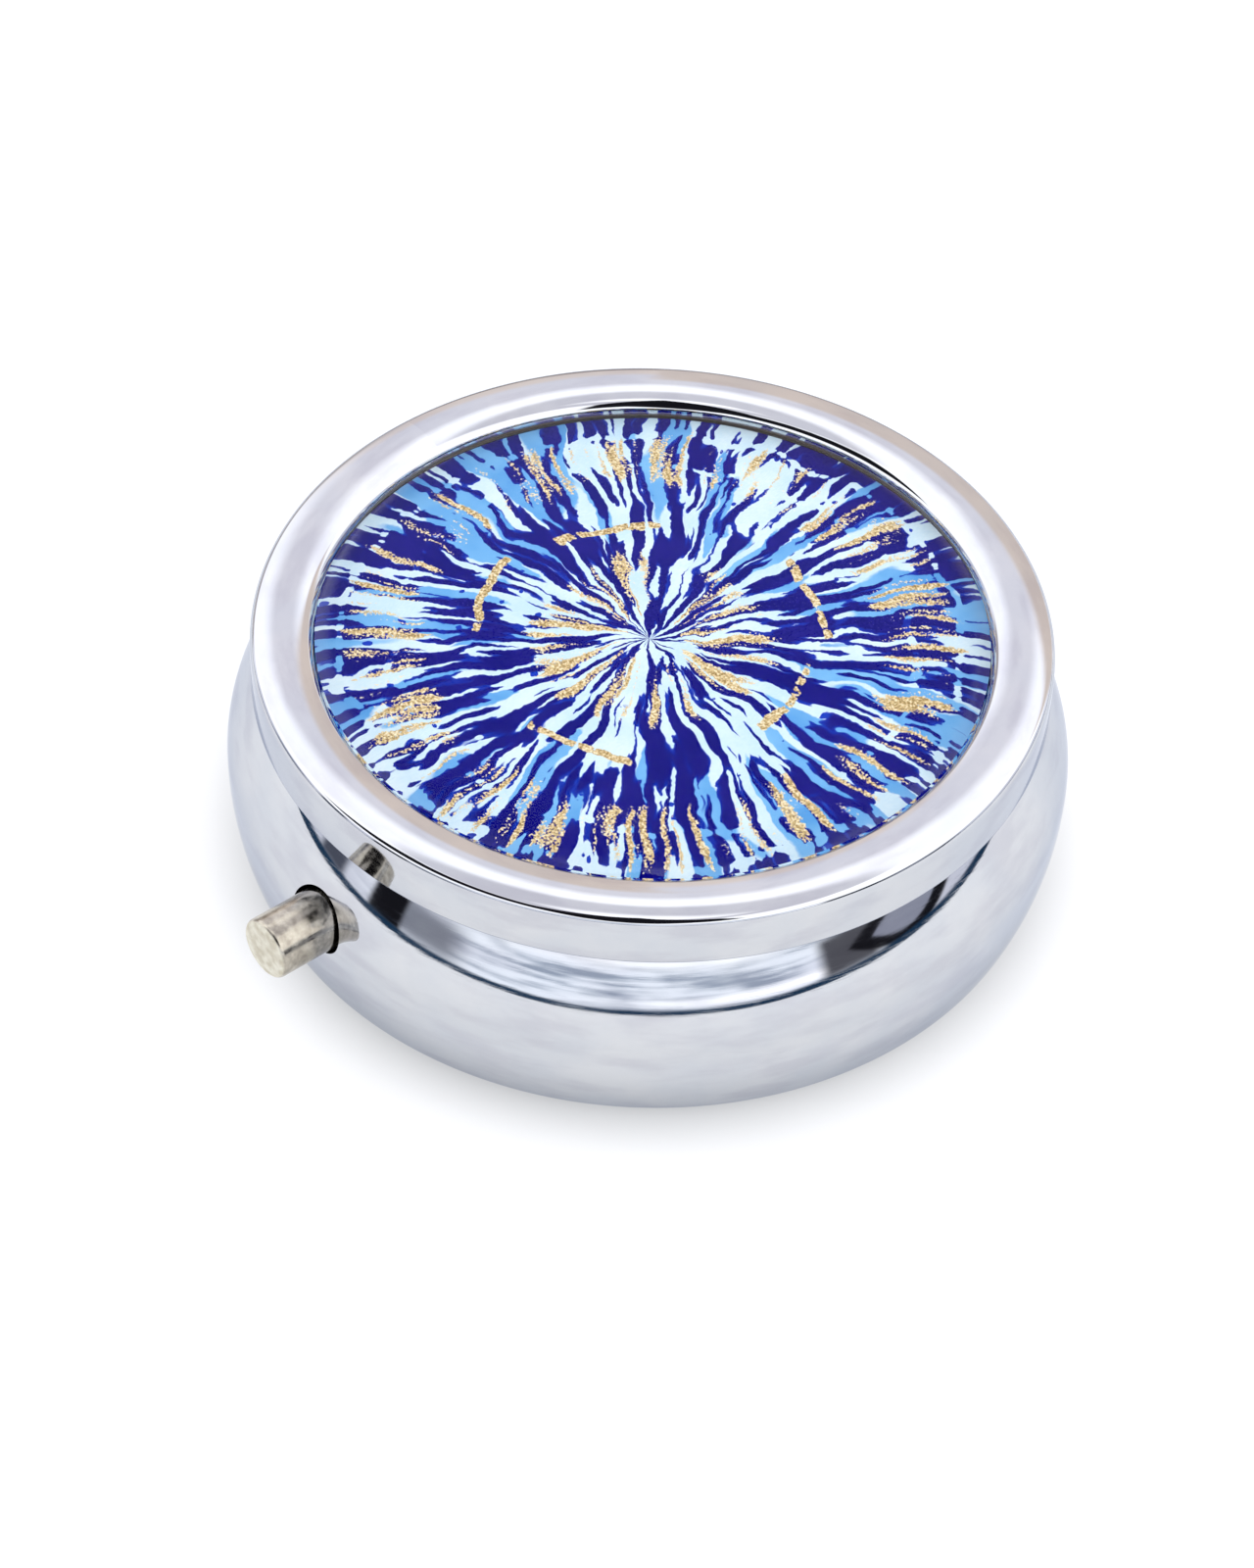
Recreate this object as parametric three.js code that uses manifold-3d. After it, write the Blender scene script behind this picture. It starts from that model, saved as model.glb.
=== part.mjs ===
// Round push-button pill box: a bulged chrome bowl, a hinged lid that carries a printed disc under a low
// glass cabochon, a spring-loaded latch worked by a round push button, and a moulded tray inside.
// Millimetres, +Z up. The origin is the centre of the flat underside. The button is on -Y, the hinge on +Y.
import * as THREE from "three";
import { mergeVertices } from "three/addons/utils/BufferGeometryUtils.js";
import Module from "manifold-3d";

const wasm = await Module();
wasm.setup();

// ---- Driving dimensions ----
const SEGMENTS = 60; // facets round the large turned pieces
const SMALL_SEGMENTS = 16; // facets round the small turned pieces
const STEPS_PER_TURN = 12; // sections of a spring wire in one turn
const LEG_STEPS = 6; // sections of a spring's leg
const PAST = 1; // how far a cutting tool reaches past what it cuts
const PLAY = 0.05; // room between pieces that are held against each other

// Bowl
const BULGE_R = 25.3; // widest radius
const BULGE_Z = 7.0; // height of the widest point
const LOWER_ARC_R = 16; // flank below the widest point
const FOOT_ARC_R = 1.8; // corner between flank and underside
const UPPER_ARC_R = 6; // flank just above the widest point
const UPPER_ARC_DEG = 22.5; // slope at which it passes into the shoulder
const SHOULDER_ARC_R = 18; // shoulder that runs in under the lid
const SHOULDER_TOP_Z = 12.65;
const SHELL_WALL = 0.6;
const SHELL_MOUTH_R = 22.9;
const MOUTH_UNDER_Z = 11.6; // the lip at the mouth is folded double down to here

// Collar inside the mouth: it centres the lid and carries the hinge leaf and the latch bracket
const COLLAR_R = 22.8;
const COLLAR_WALL = 0.5;
const COLLAR_BOTTOM_Z = 10.0;
const COLLAR_TOP_Z = 14.0;

// Lid
const LID_R = 23.8;
const LID_WALL = 0.6;
const LID_BOTTOM_Z = 12.8;
const LID_EDGE_Z = 16.0; // where the side wall meets the rounded rim
const RIM_CROWN_Z = 16.4;
const WELL_R = 20.1; // recess that holds the cabochon
const WELL_FLOOR_Z = 13.8;
const LID_SHEET = 0.5;

// What lies in the recess
const GLUE_R = 19.6;
const GLUE_Z = [13.85, 14.0];
const PRINT_R = 19.85;
const PRINT_Z = [14.05, 14.2];
const CABOCHON_R = 20.0;
const CABOCHON_BOTTOM_Z = 14.25;
const CABOCHON_EDGE_Z = 15.7;
const CABOCHON_TOP_Z = 17.0;

// Hinge: the pin lies across the back, in the groove between lid and shoulder
const PIN_Y = 24.0;
const PIN_Z = 12.6;
const PIN_R = 0.45;
const KNUCKLE_R = 0.95;
const KNUCKLE_BORE_R = 0.5;
const BASE_KNUCKLE_X = [2.85, 3.85];
const LID_KNUCKLE_X = [1.8, 2.75];
const LEAF_SHEET = 0.45;
const PIN_HALF = 4.0;
const BASE_LEAF_Y = [21.35, 21.8];
const BASE_LEAF_BOTTOM_Z = 10.1;
const LEAF_TAB_Y = 22.75; // the strip between the fingers ends short of the other leaf's knuckles
const LID_LEAF_Y = [22.5, 22.92];
const LID_LEAF_TOP_Z = 15.2;
const HINGE_NOTCH_X = 4.15; // half width of the gap cut for the hinge
const SHELL_NOTCH_Z = 11.3; // bottom of the gap in the shell
const COLLAR_NOTCH_Z = 11.4; // bottom of the gap in the collar
const LID_NOTCH = { y: 22, z: 13.9 }; // the gap in the lid's wall, from this y outwards and up to this z

// Torsion spring round the pin
const COIL_X = 1.45; // half length
const COIL_R = 0.7;
const COIL_WIRE_R = 0.13;
const COIL_TURNS = 6;
const LEG_END_Y = 22.2;
const LEG_END_RISE = 0.28; // above or below the pin

// Rivets
const RIVET_R = 0.4;
const RIVET_HOLE_R = 0.45;
const RIVET_HEAD_R = 0.6;
const RIVET_HEAD_T = 0.2;
const BRACKET_RIVET_DEG = 15; // from the button's direction, each side
const BRACKET_RIVET_Z = 10.9;
const LEAF_RIVET_X = 2.6;
const LEAF_RIVET_Z = 10.75;

// Button, latch and their spring, all on one axis along Y
const BUTTON_Z = 7.65;
const BUTTON_R = 1.9;
const BUTTON_TIP_Y = -29.05;
const BUTTON_HEEL_Y = -23.9;
const BUTTON_HOLE_R = 2.15;
const BUTTON_HOLE_Y = [-BULGE_R - 2, -BULGE_R + 3];
const STEM_R = 0.8;
const TENON_R = 0.5;
const TENON_HOLE_R = 0.55;
const TENON_END_Y = -19.55;
const BRACKET_Y = [-21.2, -20.7];
const BRACKET_HALF = 3.4;
const BRACKET_SHEET = 0.5;
const BRACKET_PLATE_Z = [5.4, 11.6];
const BRACKET_ARM_Z = [10.2, 11.6];
const BRACKET_ARM_R = [21.7, 22.2];
const BRACKET_ARM_DEG = [7.6, 20]; // from the button's direction
const BRACKET_HOLE_R = 0.95; // the stem slides in it
const SLIDER_Y = [-20.45, -19.95];
const SLIDER_Z = [6.3, 13.0];
const SLIDER_HALF = 2.2;
const NOSE_HALF = 1.4;
const NOSE_T = 0.5;
const NOSE_Y = -20.95;
const WASHER_R = 1.2;
const WASHER_T = 0.25;
const CATCH_HALF = 1.6;
const CATCH_Y = [-21.95, -21.55];
const CATCH_LIP_Y = -21.15;
const CATCH_LIP_T = 0.45;
const CATCH_BOTTOM_Z = 11.9;
const CATCH_FOOT_Y = [-22.9, -21.0];
const CATCH_FOOT_Z = [15.05, 15.4];
const SPRING_R = 1.3;
const SPRING_WIRE_R = 0.15;
const SPRING_TURNS = 4;

// Tray with three compartments
const TRAY_R = 20.8;
const TRAY_WALL = 0.8;
const TRAY_Z = [0.75, 12.75];
const TRAY_FLANGE_R = 21.9;
const TRAY_FLANGE_Z = 12.25;
const TRAY_FRONT_Y = -18.3; // flat that leaves room for the latch
const TRAY_DIVIDER = 0.9;
const TRAY_DIVIDER_Y = 0.4;
const FAR = 30; // reaches past the whole box

// ---- Helpers ----
const radians = (degrees) => (degrees * Math.PI) / 180;

// Points along an arc in a profile plane, both ends included.
function arc(centreR, centreZ, radius, fromDeg, toDeg, steps) {
  const points = [];
  for (let i = 0; i <= steps; i++) {
    const angle = radians(fromDeg + ((toDeg - fromDeg) * i) / steps);
    points.push([centreR + radius * Math.cos(angle), centreZ + radius * Math.sin(angle)]);
  }
  return points;
}

// Solid of revolution about Z from a closed profile of [radius, height] points, counter-clockwise.
function turned(profile, segments = SEGMENTS) {
  const onAxis = profile[0][0] === 0 && profile[profile.length - 1][0] === 0;
  const closed = onAxis ? profile : [...profile, profile[0]];
  const points = closed.map(([r, z]) => new THREE.Vector2(r, z));
  return new THREE.LatheGeometry(points, segments).rotateX(Math.PI / 2);
}

// The same about an axis along +Y through (0, z).
function turnedAlongY(profile, z) {
  const points = profile.map(([r, y]) => new THREE.Vector2(r, y));
  return new THREE.LatheGeometry(points, SMALL_SEGMENTS).translate(0, 0, z);
}

// Box from its low and high corners.
function box([x0, y0, z0], [x1, y1, z1]) {
  const geometry = new THREE.BoxGeometry(x1 - x0, y1 - y0, z1 - z0);
  return geometry.translate((x0 + x1) / 2, (y0 + y1) / 2, (z0 + z1) / 2);
}

// Cylinders along X and Y.
function rodAlongX(radius, x0, x1, y, z) {
  const geometry = new THREE.CylinderGeometry(radius, radius, x1 - x0, SMALL_SEGMENTS);
  return geometry.rotateZ(Math.PI / 2).translate((x0 + x1) / 2, y, z);
}

function rodAlongY(radius, y0, y1, x, z) {
  const geometry = new THREE.CylinderGeometry(radius, radius, y1 - y0, SMALL_SEGMENTS);
  return geometry.translate(x, (y0 + y1) / 2, z);
}

// A wire of round section along a curve.
function wire(curve, radius, steps) {
  const section = new THREE.Shape().absarc(0, 0, radius, 0, 2 * Math.PI);
  return new THREE.ExtrudeGeometry(section, { extrudePath: curve, steps, curveSegments: 3 });
}

// Helix about a straight line along x or y. centre holds the line's other two coordinates, in order.
class Helix extends THREE.Curve {
  constructor(axis, radius, from, to, turns, centre) {
    super();
    Object.assign(this, { axis, radius, from, to, turns, centre });
  }

  getPoint(t, target = new THREE.Vector3()) {
    const angle = 2 * Math.PI * this.turns * t;
    const along = this.from + (this.to - this.from) * t;
    const a = this.centre[0] + this.radius * Math.cos(angle);
    const b = this.centre[1] + this.radius * Math.sin(angle);
    return this.axis === "x" ? target.set(along, a, b) : target.set(a, along, b);
  }
}

function toSolid(geometry) {
  const bare = geometry.clone();
  bare.deleteAttribute("normal");
  bare.deleteAttribute("uv");
  const merged = mergeVertices(bare, 1e-4);
  const mesh = new wasm.Mesh({
    numProp: 3,
    vertProperties: new Float32Array(merged.attributes.position.array),
    triVerts: new Uint32Array(merged.index.array),
  });
  return new wasm.Manifold(mesh);
}

function toGeometry(solid) {
  const mesh = solid.getMesh();
  const geometry = new THREE.BufferGeometry();
  geometry.setAttribute("position", new THREE.BufferAttribute(mesh.vertProperties, 3));
  geometry.setIndex(new THREE.BufferAttribute(mesh.triVerts, 1));
  geometry.computeVertexNormals();
  return geometry;
}

const join = (...geometries) =>
  toGeometry(geometries.map(toSolid).reduce((whole, next) => whole.add(next)));

const cut = (geometry, ...tools) =>
  toGeometry(tools.map(toSolid).reduce((left, tool) => left.subtract(tool), toSolid(geometry)));

// ---- Materials ----
const material = (color, metalness, roughness) =>
  new THREE.MeshStandardMaterial({ color, metalness, roughness });

const CHROME = material(0xdfe2e6, 1, 0.06);
const NICKEL = material(0xb9b3a6, 1, 0.3);
const STEEL = material(0xa9adb2, 1, 0.35);
const SPRING_STEEL = material(0x8d9196, 1, 0.3);
const PLASTIC = material(0xf0f1f0, 0, 0.4);
const PAPER = material(0x4f6fb5, 0, 0.6);
const GLUE = material(0xe4e4dc, 0, 0.5);
const GLASS = new THREE.MeshStandardMaterial({
  color: 0xf2f7fb,
  metalness: 0,
  roughness: 0.03,
  transparent: true,
  opacity: 0.35,
});

const object = new THREE.Group();
const base = new THREE.Group();
const lid = new THREE.Group();
const button = new THREE.Group();
object.add(base, lid, button);

function place(group, name, geometry, finish) {
  const mesh = new THREE.Mesh(geometry, finish);
  mesh.name = name;
  group.add(mesh);
}

// ---- Bowl ----
// Flank from the underside up to topZ, pushed inwards by inset for the inner face.
function flank(inset, topZ) {
  const footSin = (BULGE_Z - FOOT_ARC_R) / (LOWER_ARC_R - FOOT_ARC_R);
  const footDeg = (Math.asin(footSin) * 180) / Math.PI;
  const footR = BULGE_R - LOWER_ARC_R + (LOWER_ARC_R - FOOT_ARC_R) * Math.cos(radians(footDeg));
  const upperR = BULGE_R - UPPER_ARC_R;
  const blend = UPPER_ARC_R - SHOULDER_ARC_R;
  const shoulderR = upperR + blend * Math.cos(radians(UPPER_ARC_DEG));
  const shoulderZ = BULGE_Z + blend * Math.sin(radians(UPPER_ARC_DEG));
  const topSin = (topZ - shoulderZ) / (SHOULDER_ARC_R - inset);
  const topDeg = (Math.asin(topSin) * 180) / Math.PI;
  return [
    ...arc(footR, FOOT_ARC_R, FOOT_ARC_R - inset, -90, -footDeg, 3),
    ...arc(BULGE_R - LOWER_ARC_R, BULGE_Z, LOWER_ARC_R - inset, -footDeg, 0, 3).slice(1),
    ...arc(upperR, BULGE_Z, UPPER_ARC_R - inset, 0, UPPER_ARC_DEG, 2).slice(1),
    ...arc(shoulderR, shoulderZ, SHOULDER_ARC_R - inset, UPPER_ARC_DEG, topDeg, 2).slice(1),
  ];
}

function baseShell() {
  const bowl = turned([
    [0, 0],
    ...flank(0, SHOULDER_TOP_Z),
    [SHELL_MOUTH_R, SHOULDER_TOP_Z],
    [SHELL_MOUTH_R, MOUTH_UNDER_Z],
    ...flank(SHELL_WALL, MOUTH_UNDER_Z).reverse(),
    [0, SHELL_WALL],
  ]);
  const buttonHole = rodAlongY(BUTTON_HOLE_R, ...BUTTON_HOLE_Y, 0, BUTTON_Z);
  const low = [-HINGE_NOTCH_X, SHELL_MOUTH_R - 2 * PAST, SHELL_NOTCH_Z];
  const high = [HINGE_NOTCH_X, BULGE_R + PAST, SHOULDER_TOP_Z + PAST];
  return cut(bowl, buttonHole, box(low, high));
}

// ---- Collar ----
// Turns a geometry made at the button's direction (-Y) round the box axis.
const turnBy = (geometry, degrees) => geometry.rotateZ(radians(degrees));

function baseCollar() {
  const innerR = COLLAR_R - COLLAR_WALL;
  const sleeve = turned([
    [innerR, COLLAR_BOTTOM_Z],
    [COLLAR_R, COLLAR_BOTTOM_Z],
    [COLLAR_R, COLLAR_TOP_Z - 0.2],
    [COLLAR_R - 0.2, COLLAR_TOP_Z],
    [innerR, COLLAR_TOP_Z],
  ]);
  const low = [-HINGE_NOTCH_X, innerR - 2 * PAST, COLLAR_NOTCH_Z];
  const high = [HINGE_NOTCH_X, COLLAR_R + PAST, COLLAR_TOP_Z + PAST];
  const [holeIn, holeOut] = [innerR - PAST, COLLAR_R + PAST];
  const holes = [-1, 1].flatMap((side) => [
    rodAlongY(RIVET_HOLE_R, holeIn, holeOut, side * LEAF_RIVET_X, LEAF_RIVET_Z),
    turnBy(rodAlongY(RIVET_HOLE_R, -holeOut, -holeIn, 0, BRACKET_RIVET_Z), side * BRACKET_RIVET_DEG),
  ]);
  return cut(sleeve, box(low, high), ...holes);
}

// ---- Hinge ----
function baseHingeLeaf() {
  const halfWidth = BASE_KNUCKLE_X[1];
  const tabZ = [PIN_Z - KNUCKLE_R, PIN_Z - KNUCKLE_R + LEAF_SHEET];
  const plate = box([-halfWidth, BASE_LEAF_Y[0], BASE_LEAF_BOTTOM_Z], [halfWidth, BASE_LEAF_Y[1], tabZ[1]]);
  const tab = box([-halfWidth, BASE_LEAF_Y[0], tabZ[0]], [halfWidth, LEAF_TAB_Y, tabZ[1]]);
  const knuckles = [-1, 1].flatMap((side) => {
    const [x0, x1] = BASE_KNUCKLE_X.map((x) => side * x).sort((a, b) => a - b);
    return [
      rodAlongX(KNUCKLE_R, x0, x1, PIN_Y, PIN_Z),
      box([x0, BASE_LEAF_Y[1], tabZ[0]], [x1, PIN_Y, tabZ[1]]),
    ];
  });
  const bore = rodAlongX(KNUCKLE_BORE_R, -halfWidth - PAST, halfWidth + PAST, PIN_Y, PIN_Z);
  const rivetHoles = [-1, 1].map((side) =>
    rodAlongY(RIVET_HOLE_R, BASE_LEAF_Y[0] - PAST, BASE_LEAF_Y[1] + PAST, side * LEAF_RIVET_X, LEAF_RIVET_Z),
  );
  return cut(join(plate, tab, ...knuckles), bore, ...rivetHoles);
}

function lidHingeLeaf() {
  const halfWidth = LID_KNUCKLE_X[1];
  const tabZ = [PIN_Z + KNUCKLE_R - LEAF_SHEET, PIN_Z + KNUCKLE_R];
  const plate = box([-halfWidth, LID_LEAF_Y[0], tabZ[0]], [halfWidth, LID_LEAF_Y[1], LID_LEAF_TOP_Z]);
  const knuckles = [-1, 1].flatMap((side) => {
    const [x0, x1] = LID_KNUCKLE_X.map((x) => side * x).sort((a, b) => a - b);
    return [
      rodAlongX(KNUCKLE_R, x0, x1, PIN_Y, PIN_Z),
      box([x0, LID_LEAF_Y[0], tabZ[0]], [x1, PIN_Y, tabZ[1]]),
    ];
  });
  const bore = rodAlongX(KNUCKLE_BORE_R, -halfWidth - PAST, halfWidth + PAST, PIN_Y, PIN_Z);
  return cut(join(plate, ...knuckles), bore);
}

// Torsion spring: a coil round the pin, one leg down behind the tray, one leg up under the lid.
function hingeSpring() {
  const coil = new Helix("x", COIL_R, -COIL_X, COIL_X, COIL_TURNS, [PIN_Y, PIN_Z]);
  // A leg leaves the coil at its back, passes the pin above (up = 1) or below (up = -1) and runs forwards.
  const leg = (x, up) => {
    const start = new THREE.Vector3(x, PIN_Y + COIL_R, PIN_Z);
    const past = new THREE.Vector3(x, PIN_Y - COIL_R * 0.2, PIN_Z + up * COIL_R);
    const end = new THREE.Vector3(x, LEG_END_Y, PIN_Z + up * LEG_END_RISE);
    return wire(new THREE.CatmullRomCurve3([start, past, end]), COIL_WIRE_R, LEG_STEPS);
  };
  return join(wire(coil, COIL_WIRE_R, STEPS_PER_TURN * COIL_TURNS), leg(-COIL_X, -1), leg(COIL_X, 1));
}

// A rivet along Y whose heads lie outside low and high.
function rivetAlongY(low, high, x, z) {
  return turnedAlongY(
    [
      [0, low - RIVET_HEAD_T],
      [RIVET_HEAD_R, low - RIVET_HEAD_T],
      [RIVET_HEAD_R, low],
      [RIVET_R, low],
      [RIVET_R, high],
      [RIVET_HEAD_R, high],
      [RIVET_HEAD_R, high + RIVET_HEAD_T],
      [0, high + RIVET_HEAD_T],
    ],
    z,
  ).translate(x, 0, 0);
}

// ---- Latch ----
function latchBracket() {
  const plate = box(
    [-BRACKET_HALF, BRACKET_Y[0], BRACKET_PLATE_Z[0]],
    [BRACKET_HALF, BRACKET_Y[1], BRACKET_PLATE_Z[1]],
  );
  const stemHole = rodAlongY(BRACKET_HOLE_R, BRACKET_Y[0] - PAST, BRACKET_Y[1] + PAST, 0, BUTTON_Z);
  const parts = [-1, 1].flatMap((side) => {
    const [x0, x1] = [side * (BRACKET_HALF - BRACKET_SHEET), side * BRACKET_HALF].sort((a, b) => a - b);
    const cheek = box([x0, -BRACKET_ARM_R[0] - PLAY, BRACKET_ARM_Z[0]], [x1, BRACKET_Y[1], BRACKET_ARM_Z[1]]);
    const shape = new THREE.Shape();
    const [from, to] = BRACKET_ARM_DEG.map((degrees) => radians(-90 + side * degrees));
    shape.absarc(0, 0, BRACKET_ARM_R[1], from, to, side < 0);
    shape.absarc(0, 0, BRACKET_ARM_R[0], to, from, side > 0);
    const depth = BRACKET_ARM_Z[1] - BRACKET_ARM_Z[0];
    const arm = new THREE.ExtrudeGeometry(shape, { depth, bevelEnabled: false, curveSegments: 4 });
    return [cheek, arm.translate(0, 0, BRACKET_ARM_Z[0])];
  });
  const rivetHoles = [-1, 1].map((side) =>
    turnBy(
      rodAlongY(RIVET_HOLE_R, -BRACKET_ARM_R[1] - PAST, -BRACKET_ARM_R[0] + PAST / 2, 0, BRACKET_RIVET_Z),
      side * BRACKET_RIVET_DEG,
    ),
  );
  return cut(join(plate, ...parts), stemHole, ...rivetHoles);
}

function pushButton() {
  return turnedAlongY(
    [
      [0, BUTTON_TIP_Y],
      [BUTTON_R - 0.3, BUTTON_TIP_Y],
      [BUTTON_R - 0.08, BUTTON_TIP_Y + 0.1],
      [BUTTON_R, BUTTON_TIP_Y + 0.35],
      [BUTTON_R, BUTTON_HEEL_Y],
      [STEM_R, BUTTON_HEEL_Y],
      [STEM_R, SLIDER_Y[0] - PLAY],
      [TENON_R, SLIDER_Y[0] - PLAY],
      [TENON_R, TENON_END_Y],
      [0, TENON_END_Y],
    ],
    BUTTON_Z,
  );
}

function latchSlider() {
  const [bottomZ, topZ] = SLIDER_Z;
  const plate = box([-SLIDER_HALF, SLIDER_Y[0], bottomZ], [SLIDER_HALF, SLIDER_Y[1], topZ]);
  const nose = box([-NOSE_HALF, NOSE_Y, topZ - NOSE_T], [NOSE_HALF, SLIDER_Y[1], topZ]);
  const tenonHole = rodAlongY(TENON_HOLE_R, SLIDER_Y[0] - PAST, SLIDER_Y[1] + PAST, 0, BUTTON_Z);
  return cut(join(plate, nose), tenonHole);
}

function retainingWasher() {
  const y0 = SLIDER_Y[1] + PLAY;
  const y1 = y0 + WASHER_T;
  const hole = rodAlongY(TENON_HOLE_R, y0 - PAST, y1 + PAST, 0, BUTTON_Z);
  return cut(rodAlongY(WASHER_R, y0, y1, 0, BUTTON_Z), hole);
}

function buttonSpring() {
  const from = BUTTON_HEEL_Y + SPRING_WIRE_R + PLAY;
  const to = BRACKET_Y[0] - SPRING_WIRE_R - PLAY;
  const coil = new Helix("y", SPRING_R, from, to, SPRING_TURNS, [0, BUTTON_Z]);
  return wire(coil, SPRING_WIRE_R, STEPS_PER_TURN * SPRING_TURNS);
}

// Hooked tongue that hangs from the lid's rim and is held by the slider's nose.
function lidCatch() {
  const lipTopZ = CATCH_BOTTOM_Z + CATCH_LIP_T;
  return join(
    box([-CATCH_HALF, CATCH_Y[0], CATCH_BOTTOM_Z], [CATCH_HALF, CATCH_Y[1], CATCH_FOOT_Z[1]]),
    box([-CATCH_HALF, CATCH_Y[0], CATCH_BOTTOM_Z], [CATCH_HALF, CATCH_LIP_Y, lipTopZ]),
    box([-CATCH_HALF, CATCH_FOOT_Y[0], CATCH_FOOT_Z[0]], [CATCH_HALF, CATCH_FOOT_Y[1], CATCH_FOOT_Z[1]]),
  );
}

// ---- Tray ----
function tray() {
  const [bottomZ, topZ] = TRAY_Z;
  const outside = turned([
    [0, bottomZ],
    [TRAY_R - 1.2, bottomZ],
    [TRAY_R - 0.35, bottomZ + 0.35],
    [TRAY_R, bottomZ + 1.2],
    [TRAY_R, TRAY_FLANGE_Z],
    [TRAY_FLANGE_R, TRAY_FLANGE_Z],
    [TRAY_FLANGE_R, topZ],
    [0, topZ],
  ]);
  const front = box([-FAR, -FAR, -FAR], [FAR, TRAY_FRONT_Y, FAR]);
  const innerR = TRAY_R - TRAY_WALL;
  const pocket = turned([
    [0, bottomZ + TRAY_WALL],
    [innerR - 1, bottomZ + TRAY_WALL],
    [innerR - 0.3, bottomZ + TRAY_WALL + 0.3],
    [innerR, bottomZ + TRAY_WALL + 1],
    [innerR, topZ + PAST],
    [0, topZ + PAST],
  ]);
  const half = TRAY_DIVIDER / 2;
  const cross = box([-FAR, TRAY_DIVIDER_Y - half, 0], [FAR, TRAY_DIVIDER_Y + half, FAR]);
  const split = box([-half, TRAY_DIVIDER_Y, 0], [half, FAR, FAR]);
  const frontWall = box([-FAR, -FAR, 0], [FAR, TRAY_FRONT_Y + TRAY_WALL, FAR]);
  const pockets = cut(pocket, cross, split, frontWall);
  return cut(cut(outside, front), pockets);
}

// ---- Lid ----
function lidFrame() {
  const wellOuterR = WELL_R + LID_SHEET;
  const innerR = LID_R - LID_WALL;
  const rimUnderZ = RIM_CROWN_Z - 0.8;
  const frame = turned([
    [0, WELL_FLOOR_Z - LID_SHEET],
    [wellOuterR - 0.3, WELL_FLOOR_Z - LID_SHEET],
    [wellOuterR, WELL_FLOOR_Z - LID_SHEET + 0.3],
    [wellOuterR, rimUnderZ - 0.2],
    [wellOuterR + 0.3, rimUnderZ],
    [innerR - 0.5, rimUnderZ],
    [innerR, rimUnderZ - 0.4],
    [innerR, LID_BOTTOM_Z],
    [LID_R, LID_BOTTOM_Z],
    [LID_R, LID_EDGE_Z - 0.15],
    [LID_R - 0.12, LID_EDGE_Z + 0.1],
    [LID_R - 0.45, RIM_CROWN_Z - 0.12],
    [LID_R - 1.2, RIM_CROWN_Z],
    [WELL_R + 1.1, RIM_CROWN_Z - 0.04],
    [WELL_R + 0.45, RIM_CROWN_Z - 0.2],
    [WELL_R + 0.1, RIM_CROWN_Z - 0.45],
    [WELL_R, RIM_CROWN_Z - 0.7],
    [WELL_R, WELL_FLOOR_Z],
    [0, WELL_FLOOR_Z],
  ]);
  const low = [-HINGE_NOTCH_X, LID_NOTCH.y, LID_BOTTOM_Z - PAST];
  return cut(frame, box(low, [HINGE_NOTCH_X, LID_R + PAST, LID_NOTCH.z]));
}

function disc(radius, [z0, z1]) {
  return turned([
    [0, z0],
    [radius, z0],
    [radius, z1],
    [0, z1],
  ]);
}

function cabochon() {
  const shoulderR = CABOCHON_R - 0.9;
  const shoulderZ = CABOCHON_EDGE_Z + 0.45;
  const rise = CABOCHON_TOP_Z - shoulderZ;
  const domeR = (shoulderR ** 2 + rise ** 2) / (2 * rise);
  const spread = (Math.asin(shoulderR / domeR) * 180) / Math.PI;
  return turned([
    [0, CABOCHON_BOTTOM_Z],
    [CABOCHON_R - 0.15, CABOCHON_BOTTOM_Z],
    [CABOCHON_R - 0.05, CABOCHON_BOTTOM_Z + 0.3],
    [CABOCHON_R - 0.05, CABOCHON_EDGE_Z],
    [CABOCHON_R - 0.3, CABOCHON_EDGE_Z + 0.28],
    ...arc(0, CABOCHON_TOP_Z - domeR, domeR, 90 - spread, 90, 3).slice(0, -1),
    [0, CABOCHON_TOP_Z],
  ]);
}

// ---- Assembly ----
place(base, "base_shell", baseShell(), CHROME);
place(base, "base_collar", baseCollar(), STEEL);
place(base, "base_hinge_leaf", baseHingeLeaf(), STEEL);
place(base, "hinge_pin", rodAlongX(PIN_R, -PIN_HALF, PIN_HALF, PIN_Y, PIN_Z), STEEL);
place(base, "hinge_spring", hingeSpring(), SPRING_STEEL);
place(base, "latch_bracket", latchBracket(), STEEL);
place(base, "button_spring", buttonSpring(), SPRING_STEEL);
place(base, "tray", tray(), PLASTIC);
for (const [side, name] of [[-1, "left"], [1, "right"]]) {
  const leafRivet = rivetAlongY(BASE_LEAF_Y[0] - PLAY, COLLAR_R - 0.04, side * LEAF_RIVET_X, LEAF_RIVET_Z);
  place(base, "hinge_rivet_" + name, leafRivet, STEEL);
  const bracketRivet = rivetAlongY(-COLLAR_R - PLAY, -BRACKET_ARM_R[0] + PLAY, 0, BRACKET_RIVET_Z);
  place(base, "bracket_rivet_" + name, turnBy(bracketRivet, side * BRACKET_RIVET_DEG), STEEL);
}

place(lid, "lid_frame", lidFrame(), CHROME);
place(lid, "lid_hinge_leaf", lidHingeLeaf(), STEEL);
place(lid, "lid_catch", lidCatch(), STEEL);
place(lid, "glue_disc", disc(GLUE_R, GLUE_Z), GLUE);
place(lid, "print_disc", disc(PRINT_R, PRINT_Z), PAPER);
place(lid, "cabochon", cabochon(), GLASS);

place(button, "push_button", pushButton(), NICKEL);
place(button, "latch_slider", latchSlider(), STEEL);
place(button, "retaining_washer", retainingWasher(), STEEL);

export default object;
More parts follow.
